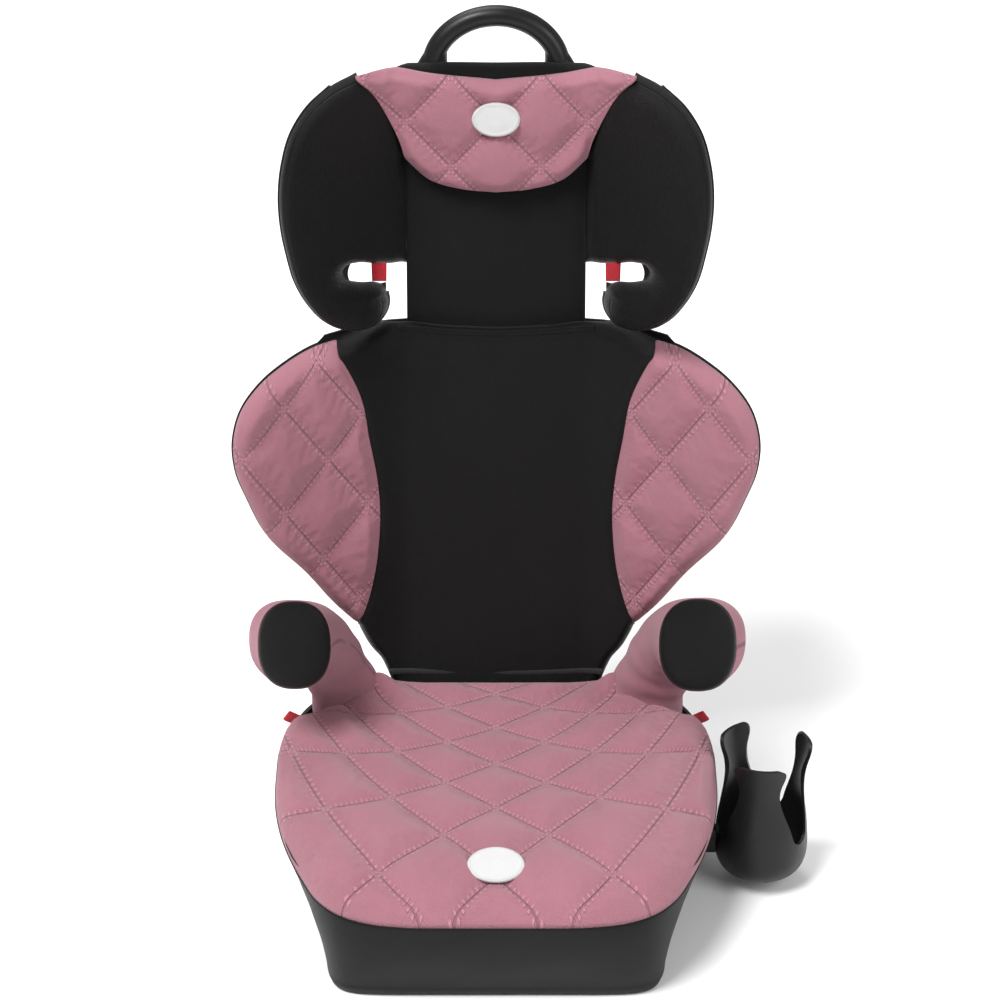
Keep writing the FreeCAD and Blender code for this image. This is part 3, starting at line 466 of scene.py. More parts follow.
def roll(distance, radius):
    """0 at an outline, 1 once a rounded edge of this radius has been passed."""
    return np.sqrt(np.clip(1 - np.clip(1 - distance / radius, 0, 1) ** 2, 0, 1))


def wander(p, q, size, seed):
    """Slow unevenness of stuffed cloth, between about -1 and 1."""
    rng = np.random.default_rng(seed)
    total = np.zeros(len(p))
    for _ in range(6):
        angle, phase = rng.uniform(0, 2 * math.pi, 2)
        wave = size * rng.uniform(0.6, 1.7)
        total += np.sin(2 * math.pi * (p * math.cos(angle) + q * math.sin(angle)) / wave + phase)
    return total / 6


# ---- materials ----------------------------------------------------------------------------------------
# thread and stitch sizes in millimetres
KNIT_RIB, KNIT_LOOP = 1.3, 1.1
RIBBON_RIB = 0.7
SATIN_THREAD = 0.55
HEM_STITCH = 2.6
TOPSTITCH_IN = 5.0  # from a pad's outer edge to its row of topstitching
TICKS = 13.0  # cross stitches between one sewn line and the next


class Nodes:
    """Short calls for building a node tree."""

    def __init__(self, name):
        self.material = bpy.data.materials.new(name)
        self.material.use_nodes = True
        self.tree = self.material.node_tree
        self.bsdf = self.tree.nodes["Principled BSDF"]

    def add(self, kind, inputs=None, **options):
        node = self.tree.nodes.new("ShaderNode" + kind)
        for key, value in options.items():
            setattr(node, key, value)
        for key, value in (inputs or {}).items():
            if isinstance(value, bpy.types.NodeSocket):
                self.tree.links.new(value, node.inputs[key])
            else:
                node.inputs[key].default_value = value
        return node

    def math(self, operation, a, b=0.0, clamp=False):
        node = self.add("Math", {0: a, 1: b}, operation=operation, use_clamp=clamp)
        return node.outputs[0]

    def band(self, value, low, high):
        """1 up to low, 0 from high on."""
        node = self.add("MapRange", {"Value": value, "From Min": low, "From Max": high, "To Min": 1.0,
                                     "To Max": 0.0}, interpolation_type="SMOOTHSTEP")
        return node.outputs[0]

    def attribute(self, name):
        split = self.add("SeparateXYZ", {0: self.add("Attribute", attribute_name=name).outputs["Vector"]})
        return split.outputs[0], split.outputs[1]

    def noise(self, scale, detail=3.0, roughness=0.5):
        vector = self.add("TexCoord").outputs["Object"]
        node = self.add("TexNoise", {"Vector": vector, "Scale": scale, "Detail": detail,
                                     "Roughness": roughness})
        return node.outputs["Fac"]

    def mix(self, factor, a, b):
        node = self.add("Mix", data_type="RGBA")
        for key, value in ((0, factor), (6, a), (7, b)):
            if isinstance(value, bpy.types.NodeSocket):
                self.tree.links.new(value, node.inputs[key])
            else:
                node.inputs[key].default_value = value
        return node.outputs[2]

    def finish(self, colour, roughness, height, depth, **constants):
        for key, value in (("Base Color", colour), ("Roughness", roughness)):
            if isinstance(value, bpy.types.NodeSocket):
                self.tree.links.new(value, self.bsdf.inputs[key])
            else:
                self.bsdf.inputs[key].default_value = value
        bump = self.add("Bump", {"Height": height, "Distance": depth, "Strength": 1.0})
        self.tree.links.new(bump.outputs[0], self.bsdf.inputs["Normal"])
        for key, value in constants.items():
            self.bsdf.inputs[key.replace("_", " ").title().replace("Ior", "IOR")].default_value = value
        return self.material


def shade(colour, factor):
    return (*(c * factor for c in colour[:3]), 1.0)


def knit(name, colour, quilted=False, sheen=0.22, roughness=0.85, mottle=0.05, topstitch=False):
    """Fine polyester knit; the quilted kind has rows of small cross stitches along its sewn lines, with painted
    shade in the grooves and painted highlights on the stitches.
    """
    n = Nodes(name)
    u, v = n.attribute("weave")
    rib = n.math("SINE", n.math("MULTIPLY", u, 2 * math.pi / KNIT_RIB))
    loop = n.math("SINE", n.math("MULTIPLY", v, 2 * math.pi / KNIT_LOOP))
    weave = n.math("MULTIPLY", rib, loop)
    grain = n.noise(950.0, 2.0)
    slow = n.noise(16.0, 3.0)
    height = n.math("ADD", n.math("MULTIPLY", weave, 0.35), n.math("MULTIPLY", grain, 0.9))
    tone = n.math("ADD", n.math("MULTIPLY", grain, 0.55), n.math("MULTIPLY", slow, 0.45))
    tone = n.math("ADD", n.math("MULTIPLY", weave, 0.05), tone)
    spread = n.add("MapRange", {"Value": tone, "From Min": 0.3, "From Max": 0.7}).outputs[0]
    base = n.mix(spread, shade(colour, 1 - 2.4 * mottle), shade(colour, 1 + 1.8 * mottle))
    if quilted:
        a, b = n.attribute("quilt")
        pitch_a, pitch_b = n.attribute("quilt_pitch")
        grooves = ticks = None
        for mine, other, pitch in ((a, b, pitch_a), (b, a, pitch_b)):
            off = n.math("ABSOLUTE", n.math("SUBTRACT", mine, n.math("ROUND", mine)))
            gap = n.math("MULTIPLY", off, pitch)
            groove = n.band(gap, 0.2, 1.1)
            near = n.math("MULTIPLY", n.band(gap, 3.0, 3.8), n.math("SUBTRACT", 1.0, n.band(gap, 0.3, 0.7)))
            tick = n.band(n.math("PINGPONG", n.math("MULTIPLY", other, TICKS), 0.5), 0.16, 0.28)
            tick = n.math("MULTIPLY", tick, near)
            grooves = groove if grooves is None else n.math("MAXIMUM", grooves, groove)
            ticks = tick if ticks is None else n.math("MAXIMUM", ticks, tick)
        height = n.math("SUBTRACT", height, n.math("MULTIPLY", grooves, 2.4))
        height = n.math("ADD", height, n.math("MULTIPLY", ticks, 2.0))
        # painted shade: the cloth's colour is darkened in the sewn lines' grooves, where shade falls
        base = n.mix(n.math("MULTIPLY", grooves, 0.3, clamp=True), base, shade(colour, 0.45))
        # painted highlight: the raised cross stitches are painted lighter than the cloth around them
        base = n.mix(n.math("MULTIPLY", ticks, 0.75, clamp=True), base, shade(colour, 1.42))
    if topstitch:
        rim, _ = n.attribute("rim")
        row = n.band(n.math("ABSOLUTE", n.math("SUBTRACT", rim, TOPSTITCH_IN)), 0.25, 0.8)
        height = n.math("SUBTRACT", height, n.math("MULTIPLY", row, 1.5))
        base = n.mix(n.math("MULTIPLY", row, 0.4), base, shade(colour, 0.5))
    return n.finish(base, roughness, height, 0.0006, sheen_weight=sheen, sheen_roughness=0.35,
                    specular_ior_level=0.14)


def stitched_hem(name, colour):
    """A narrow hem with a row of short stitches."""
    n = Nodes(name)
    u, _ = n.attribute("weave")
    dash = n.band(n.math("PINGPONG", n.math("DIVIDE", u, HEM_STITCH), 0.5), 0.16, 0.26)
    grain = n.noise(900.0, 2.0)
    base = n.mix(dash, shade(colour, 0.8), shade(colour, 1.5))
    height = n.math("ADD", n.math("MULTIPLY", dash, 0.8), grain)
    return n.finish(base, 0.8, height, 0.0004, sheen_weight=0.15)


def moulded(name, colour, roughness, grain=0.5):
    """Injection-moulded plastic: spark texture, faint flow marks and rubbed patches."""
    n = Nodes(name)
    spark = n.noise(900.0, 2.0)
    flow_mark = n.noise(9.0, 4.0)
    rubbed = n.noise(45.0, 5.0, roughness=0.65)
    base = n.mix(flow_mark, shade(colour, 0.85), shade(colour, 1.25))
    rough = n.add("MapRange", {"Value": rubbed, "From Min": 0.3, "From Max": 0.7, "To Min": roughness - 0.07,
                               "To Max": roughness + 0.1}).outputs[0]
    return n.finish(base, rough, n.math("MULTIPLY", spark, grain), 0.00035, specular_ior_level=0.28)


def ribbon(name, colour):
    """Woven ribbon with fine cross ribs."""
    n = Nodes(name)
    _, v = n.attribute("weave")
    rib = n.math("SINE", n.math("MULTIPLY", v, 2 * math.pi / RIBBON_RIB))
    base = n.mix(n.noise(300.0), shade(colour, 0.8), shade(colour, 1.15))
    return n.finish(base, 0.55, rib, 0.00025, sheen_weight=0.05)


def metal(name, colour, roughness):
    n = Nodes(name)
    streak = n.noise(700.0, 2.0)
    base = n.mix(n.noise(60.0, 4.0), shade(colour, 0.8), shade(colour, 1.1))
    rough = n.add("MapRange", {"Value": streak, "To Min": roughness - 0.08,
                               "To Max": roughness + 0.12}).outputs[0]
    return n.finish(base, rough, streak, 0.00005, metallic=1.0)


def rubber(name):
    n = Nodes(name)
    place = n.add("TexCoord").outputs["Object"]
    grip = n.add("TexVoronoi", {"Vector": place, "Scale": 420.0}).outputs["Distance"]
    return n.finish(n.mix(n.noise(80.0), (0.012, 0.012, 0.012, 1), (0.03, 0.03, 0.03, 1)), 0.75, grip, 0.0005)


def embroidered(name, colour):
    """Satin-stitched patch: fine threads and a raised border, read from the patch's own coordinates."""
    n = Nodes(name)
    u, v = n.attribute("weave")
    thread = n.math("SINE", n.math("MULTIPLY", u, 2 * math.pi / SATIN_THREAD))
    edge = n.band(n.math("ABSOLUTE", n.math("SUBTRACT", v, 0.9)), 0.03, 0.07)
    base = n.mix(n.noise(500.0), shade(colour, 0.93), shade(colour, 1.0))
    base = n.mix(n.math("MULTIPLY", edge, 0.35), base, (0.62, 0.6, 0.6, 1))
    return n.finish(base, 0.6, thread, 0.0002, sheen_weight=0.2)


def materials():
    """The finishes, made once."""
    if "pink quilted knit" in bpy.data.materials:
        return
    s = settings()
    pink, black, plastic = s.pink, s.black, s.plastic
    knit("pink quilted knit", pink, quilted=True)
    knit("pink plain knit", pink)
    knit("black knit", black, sheen=0.05, roughness=0.44, mottle=0.1, topstitch=True)
    stitched_hem("black stitched hem", black)
    moulded("black moulded plastic", plastic, roughness=0.48)
    moulded("satin black plastic", plastic, roughness=0.36, grain=0.35)
    ribbon("red ribbon", s.red)
    embroidered("white patch", (0.86, 0.86, 0.86))
    metal("zinc steel", (0.62, 0.62, 0.6), 0.34)
    metal("spring steel", (0.36, 0.36, 0.38), 0.3)
    rubber("black rubber")


# the foam and cores under the cloth are never left showing, so they take the plastic's finish
FINISH_OF_SLOT = {
    "black_plastic": "black moulded plastic",
    "satin_plastic": "satin black plastic",
    "steel": "zinc steel",
    "spring_steel": "spring steel",
    "rubber": "black rubber",
    "red_webbing": "red ribbon",
    "black_fabric": "black moulded plastic",
    "pink_fabric": "black moulded plastic",
}


def finish_named(name):
    materials()
    return bpy.data.materials[name]


# ---- operators ----------------------------------------------------------------------------------------
class BoosterSettings(bpy.types.PropertyGroup):
    """Sizes and colours a user would change."""

    pink: FloatVectorProperty(name="Pink cloth", description="Colour of the quilted cloth", subtype="COLOR",
                              default=(0.36, 0.156, 0.195), min=0, max=1)
    black: FloatVectorProperty(name="Black cloth", description="Colour of the plain cloth", subtype="COLOR",
                               default=(0.0045, 0.0045, 0.0047), min=0, max=1)
    plastic: FloatVectorProperty(name="Plastic", description="Colour of the moulded parts", subtype="COLOR",
                                 default=(0.006, 0.006, 0.0062), min=0, max=1)
    red: FloatVectorProperty(name="Red ribbon", description="Colour of the belt tabs", subtype="COLOR",
                             default=(0.58, 0.004, 0.018), min=0, max=1)
    seat_puff: FloatProperty(name="Seat quilting", description="Height of the seat's pillows",
                             default=0.0082, min=0, max=0.01, subtype="DISTANCE", unit="LENGTH")
    wing_puff: FloatProperty(name="Wing quilting", description="Height of the wings' pillows",
                             default=0.0078, min=0, max=0.01, subtype="DISTANCE", unit="LENGTH")
    mesh_step: FloatProperty(name="Mesh step", description="Spacing of the points of the cloth meshes",
                             default=0.0023, min=0.0015, max=0.01, subtype="DISTANCE", unit="LENGTH")


class BOOSTER_OT_seat(bpy.types.Operator):
    """Quilted top of the seat cushion"""

    bl_idname = "booster.seat"
    bl_label = "Seat cushion"

    def execute(self, context):
        outline = Outline([("edge", SEAT_EDGE[::-1]), ("rear", SEAT_REAR[::-1]),
                           ("rear", flipped(SEAT_REAR[::-1])), ("edge", flipped(SEAT_EDGE[::-1]))],
                          mesh_spacing())
        flat, faces = outline.fill()
        x, y = flat.T
        seam = np.interp(y, *zip(*SEAM_HEIGHTS))
        edge, rear = outline.distance(flat, "edge"), outline.distance(flat, "rear")
        top = seat_top(x, y)
        z = seam + seat_crown(edge, top - seam) * (0.25 + 0.75 * roll(rear, 22))
        z += seat_shoulder(x, y)
        quilt = quilting(seat_lattice, x, y)
        fade = smoothstep(edge, 0, 16) * smoothstep(rear, 0, 12)
        z += puff(quilt, settings().seat_puff * 1000) * fade
        z += 0.7 * wander(x, y, 60, 3) * fade
        piece = make_mesh("seat_quilt", np.stack([x, y, z], 1), faces, weave=flat, quilt=quilt)
        inflate(piece, sewn_down(quilt, (edge, 2), (rear, 2)))
        thicken(piece, 3.0)
        dress(piece, finish_named("pink quilted knit"), "base", ["seat_cushion"])
        return {"FINISHED"}


def seat_top(x, y):
    """Height of the seat's upper surface before quilting: a shallow dish, lower towards the front."""
    dish = 4.0 * np.exp(-((x / 95) ** 2) - ((y - 35) / 85) ** 2)
    return 120.5 - dish + 1.5 * smoothstep(np.abs(x), 70, 150) - 3.0 * smoothstep(-y, 60, 175)


def seat_shoulder(x, y):
    """Two small bumps where the cushion meets the armrests' roots."""
    across = (np.abs(x) - SHOULDER_X) / 13
    return SHOULDER_RISE * np.exp(-(across**2) - ((y - SHOULDER_Y) / 12) ** 2)


def seat_crown(edge, height):
    """Rise of the cushion inwards from its seam: a tight roll over the rim, then a long soft slope."""
    slope = 1 - (1 - np.clip(edge / 62, 0, 1)) ** 2.4
    return SEAM_RISE * roll(edge, 7) + (height - SEAM_RISE) * slope


def floor_ring(outset, count):
    """The base's outline at the floor, walked anticlockwise from the rear middle."""
    half = FLOOR_HALF_WIDTH + outset
    front = BASE_MIDDLE - FLOOR_FRONT + outset
    rear = BASE_REAR - BASE_MIDDLE + outset
    angle = math.pi / 2 + np.linspace(0, 2 * math.pi, 2881)
    c, s = np.cos(angle), np.sin(angle)
    power = np.where(s < 0, FRONT_POWER, REAR_POWER)
    x = half * np.sign(c) * np.abs(c) ** (2 / power)
    y = BASE_MIDDLE + np.where(s < 0, front, rear) * np.sign(s) * np.abs(s) ** (2 / power)
    walked = np.r_[0, np.cumsum(np.hypot(np.diff(x), np.diff(y)))]
    at = np.linspace(0, walked[-1], count + 1)
    return np.stack([np.interp(at, walked, x), np.interp(at, walked, y)], axis=1)


def turn_from_front(points):
    """Angle of each point round the base's middle, 0 at the front."""
    return np.arctan2(points[:, 0], BASE_MIDDLE - points[:, 1])


class BOOSTER_OT_skirt(bpy.types.Operator):
    """Black cloth round the base, from the seat's seam down to a hem at the floor"""

    bl_idname = "booster.skirt"
    bl_label = "Skirt"

    def execute(self, context):
        edge = flow(SEAT_EDGE[::-1], 3.0)
        top = np.vstack([flipped(edge.tolist()), edge[1:]])
        floor = floor_ring(1.0, 1200)[:-1]
        angles = turn_from_front(floor)
        order = np.argsort(angles)
        wanted = turn_from_front(top) * SKIRT_STRETCH
        low = np.stack([np.interp(wanted, angles[order], floor[order, k]) for k in (0, 1)], axis=1)
        seam = np.interp(top[:, 1], *zip(*SEAM_HEIGHTS))
        length = np.r_[0, np.cumsum(np.linalg.norm(np.diff(top, axis=0), axis=1))]
        rows, weave = [], []
        levels = np.linspace(0, 1, 34)
        for level in levels:
            plan = top + (low - top) * level**0.9
            away = plan - np.array([0, BASE_MIDDLE])
            away /= np.linalg.norm(away, axis=1)[:, None]
            bulge = SKIRT_BULGE * math.sin(math.pi * min(1.0, level * 1.15)) ** 0.8 * (1 - 0.4 * level) + 0.6
            tuck = -2.5 * smoothstep(np.array([level]), 0.9, 1.0)[0] ** 2
            crease = 0.7 * wander(length, np.full(len(length), level * 90), 70, 11)
            crease *= math.sin(math.pi * level)
            plan = plan + away * (bulge + tuck + crease)[:, None]
            z = 1.0 + (seam - 1.0) * (1 - level)
            rows.append(np.c_[plan, z])
            weave.append(np.c_[length, np.full(len(length), level * 95)])
        points, weave = np.vstack(rows), np.vstack(weave)
        faces = [f[::-1] for f in grid_faces(len(levels), len(top))]
        piece = make_mesh("seat_skirt", points, faces, weave=weave)
        thicken(piece, 1.4)
        dress(piece, finish_named("black knit"), "base", ["base_skirt"])
        return {"FINISHED"}


class BOOSTER_OT_arms(bpy.types.Operator):
    """Armrests: a pink sleeve and a black oval end on each side"""

    bl_idname = "booster.arms"
    bl_label = "Armrests"

    def execute(self, context):
        for side, name in ((1, "right"), (-1, "left")):
            sleeve, weave, last, forward = arm_sleeve(side)
            rows, columns = len(sleeve), sleeve.shape[1]
            faces = grid_faces(rows, columns, closed=True)
            if side > 0:
                faces = [f[::-1] for f in faces]
            piece = make_mesh("arm_cover_" + name, sleeve.reshape(-1, 3), faces, weave=weave.reshape(-1, 2))
            thicken(piece, 2.0)
            dress(piece, finish_named("pink plain knit"), "base",
                  ["armrest_cover_" + name])
            end = arm_end("arm_end_" + name, last, forward, side)
            dress(end, finish_named("black knit"), "base", ["armrest_end_pad_" + name])
        return {"FINISHED"}


def arm_sleeve(side, columns=96, rows=70):
    """Rings along the armrest's horn, its last ring and the way it points there."""
    keys = np.linspace(0, 1, len(ARM_SECTIONS))
    at = np.linspace(0, 1, rows)
    centre = spread_out([c for c, *_ in ARM_SECTIONS], keys, at)
    ahead = spread_out([d for _, d, *_ in ARM_SECTIONS], keys, at)
    across = spread_out([[a] for *_, a, _ in ARM_SECTIONS], keys, at)[:, 0]
    other = spread_out([[o] for *_, o in ARM_SECTIONS], keys, at)[:, 0]
    centre[:, 0] *= side
    ahead[:, 0] *= side
    ahead /= np.linalg.norm(ahead, axis=1)[:, None]
    level = np.array([1.0, 0, 0]) - ahead * ahead[:, :1]
    level /= np.linalg.norm(level, axis=1)[:, None]
    third = np.cross(ahead, level)
    rings, weave = [], []
    angle = np.linspace(0, 2 * math.pi, columns, endpoint=False)
    c, s = np.cos(angle), np.sin(angle)
    u = np.sign(c) * np.abs(c) ** (2 / 2.4)
    w = np.sign(s) * np.abs(s) ** (2 / 2.4)
    walked = np.r_[0, np.cumsum(np.linalg.norm(np.diff(centre, axis=0), axis=1))]
    for i in range(rows):
        crease = 0.8 * np.sin(walked[i] / 4.5 + 2.2 * np.sin(angle)) * math.exp(-((walked[i] - 45) / 30) ** 2)
        spread = 12 * math.exp(-((walked[i] / 34) ** 2)) * np.clip(-side * np.cos(angle), 0, 1)
        a, o = across[i] + crease + spread, other[i] + crease
        rings.append(centre[i] + np.outer(a * u, level[i]) + np.outer(o * w, third[i]))
        weave.append(np.c_[angle * 30, np.full(columns, walked[i])])
    return np.array(rings), np.array(weave), rings[-1], ahead[-1]


def spread_out(values, keys, at):
    """Smooth values between the keys."""
    values = np.asarray(values, float)
    slope = np.gradient(values, keys, axis=0)
    out = []
    for t in at:
        i = min(int(np.searchsorted(keys, t, side="right")) - 1, len(keys) - 2)
        length = keys[i + 1] - keys[i]
        u = (t - keys[i]) / length
        out.append(hermite(values[i], values[i + 1], slope[i], slope[i + 1], length, u))
    return np.array(out)


def arm_end(name, ring, forward, side, steps=18, dome=9.0):
    """A domed oval sewn into the end of the sleeve."""
    centre = ring.mean(axis=0)
    points, weave = [], []
    for i in range(steps + 1):
        share = 1 - i / steps
        height = dome * math.sqrt(max(0.0, 1 - share**2.6)) - 0.6 * math.exp(-((1 - share) / 0.05) ** 2)
        points.append(centre + (ring - centre) * max(share, 0.004) + forward * height)
        weave.append(((ring - centre) * share)[:, [0, 2]])
    faces = grid_faces(steps + 1, len(ring), closed=True)
    faces.append([steps * len(ring) + j for j in range(len(ring))])
    if side > 0:
        faces = [f[::-1] for f in faces]
    piece = make_mesh(name, np.vstack(points), faces, weave=np.vstack(weave))
    return thicken(piece, 2.0)


def back_edge_depth(x):
    """t where the back cover's outer edge ends: in front of the stem, and on the shell beyond it."""
    share = smoothstep(np.abs(x), 88, 104)
    return HEM_DEPTH * (1 - share) + wing(x, BACK_SHELL) * share


class BOOSTER_OT_back(bpy.types.Operator):
    """Backrest cover: black middle panel, quilted wings, turned hems and the gusset behind"""

    bl_idname = "booster.back"
    bl_label = "Backrest cover"

    def execute(self, context):
        self.panel()
        for side, name in ((1, "right"), (-1, "left")):
            self.wing_pad(side, name)
            self.gusset(side, name)
        self.hems()
        return {"FINISHED"}

    def panel(self):
        outline = Outline([("foot", flipped(PANEL_FOOT)), ("foot", PANEL_FOOT), ("taper", PANEL_TAPER),
                           ("seam", WING_SEAM[::-1]), ("top", PANEL_TOP), ("top", flipped(PANEL_TOP)),
                           ("seam", flipped(WING_SEAM[::-1])), ("taper", flipped(PANEL_TAPER))],
                          mesh_spacing() * 1.15)
        flat, faces = outline.fill()
        x, s = flat.T
        edge = roll(outline.distance(flat, "top"), 12)
        edge = np.minimum(edge, roll(outline.distance(flat, "taper"), 14))
        edge = np.minimum(edge, roll(outline.distance(flat, "foot"), 8))
        front = wing(x, BACK_FRONT) - 2.0 * np.exp(-((x / 90) ** 2)) - 0.6 * wander(x, s, 110, 5)
        last = back_edge_depth(x)
        t = last + (front - last) * edge + 2.2 * np.exp(-((outline.distance(flat, "seam") / 3.2) ** 2))
        piece = make_mesh("back_panel", in_row(np.stack([x, t, s], 1)), faces, weave=flat)
        thicken(piece, 2.0)
        dress(piece, finish_named("black knit"), "backrest", ["back_pad"])

    def wing_pad(self, side, name):
        runs = [("edge", WING_EDGE), ("seam", WING_SEAM)]
        if side < 0:
            runs = [(run, flipped(points)) for run, points in reversed(runs)]
        outline = Outline(runs, mesh_spacing())
        flat, faces = outline.fill((0.35, 1.0, 2.0, 3.4, 5.2))
        x, s = flat.T
        edge, seam = outline.distance(flat, "edge"), outline.distance(flat, "seam")
        quilt = quilting(lambda p, q: wing_lattice(wing_arc(p, BACK_FRONT), q), x, s)
        last = back_edge_depth(x)
        fade = smoothstep(edge, 2, 20) * smoothstep(seam, 0, 10)
        front = wing(x, BACK_FRONT) - puff(quilt, settings().wing_puff * 1000) * fade
        front -= 0.8 * wander(x, s, 70, 7) * fade
        t = last + (front - last) * roll(edge, 17) + 2.2 * np.exp(-((seam / 3.2) ** 2))
        weave = np.c_[side * wing_arc(x, BACK_FRONT), s]
        points = in_row(np.stack([x, t, s], 1))
        piece = make_mesh("back_wing_" + name, points, faces, weave=weave, quilt=quilt)
        inflate(piece, sewn_down(quilt, (edge, 8), (seam, 2)))
        thicken(piece, 2.5)
        dress(piece, finish_named("pink quilted knit"), "backrest",
              ["back_wing_pad_" + name])

    def gusset(self, side, name):
        """Black strip that wraps the wing's rim and ends in a hem behind the shell."""
        run = PANEL_TAPER[1:] + WING_EDGE[1:] + PANEL_TOP[1:2]
        piece = rim_strip("back_gusset_" + name, run, side, BACK_SHELL)
        dress(piece, finish_named("black knit"), "backrest")

    def hems(self):
        top = flow(PANEL_TOP[4:] + flipped(PANEL_TOP[4:])[1:], 2.5)
        path = in_row(np.stack([top[:, 0], np.full(len(top), 1.5), top[:, 1] - 3.4], 1))
        hem = rolled_hem("back_top_hem", path, 2.8, BACK_FACING)
        dress(hem, finish_named("black knit"), "backrest")
        foot = flow([(-92, 1), (-50, -0.5), (0, -1), (50, -0.5), (92, 1)], 2.5)
        path = in_row(np.stack([foot[:, 0], wing(foot[:, 0], BACK_FRONT) - 0.2, foot[:, 1]], 1))
        hem = rolled_hem("back_foot_hem", path, 3.0, BACK_FACING)
        dress(hem, finish_named("black stitched hem"), "backrest")


def rim_strip(name, run, side, shell, wrap=16.0):
    """A strip along an outline that wraps the shell's rim from front to rear."""
    line = flow(run, 3.0)
    ahead = np.gradient(line, axis=0)
    ahead /= np.linalg.norm(ahead, axis=1)[:, None]
    outward = np.stack([ahead[:, 1], -ahead[:, 0]], axis=1)
    if (outward * (line - line.mean(0))).sum() < 0:
        outward = -outward
    # outward from the outline, rearward from the shell's face
    steps = [(-4, -3.0), (-1.0, -2.6), (0.8, -1.2), (1.4, 0.8), (1.2, 3.2), (0.2, 5.2), (-2.5, 6.2),
             (-7, 6.6), (-wrap, 6.8), (-wrap - 1.2, 6.2), (-wrap - 1.0, 5.2)]
    rows, weave = [], []
    length = np.r_[0, np.cumsum(np.linalg.norm(np.diff(line, axis=0), axis=1))]
    across = 0.0
    for i, (out, depth) in enumerate(steps):
        plan = line + outward * out
        t = wing(plan[:, 0], shell) + depth
        rows.append(in_row(np.stack([plan[:, 0] * side, t, plan[:, 1]], 1)))
        if i:
            across += math.dist(steps[i], steps[i - 1])
        weave.append(np.c_[length, np.full(len(length), across)])
    faces = grid_faces(len(steps), len(line))
    if side > 0:
        faces = [f[::-1] for f in faces]
    piece = make_mesh(name, np.vstack(rows), faces, weave=np.vstack(weave))
    return thicken(piece, 1.2)


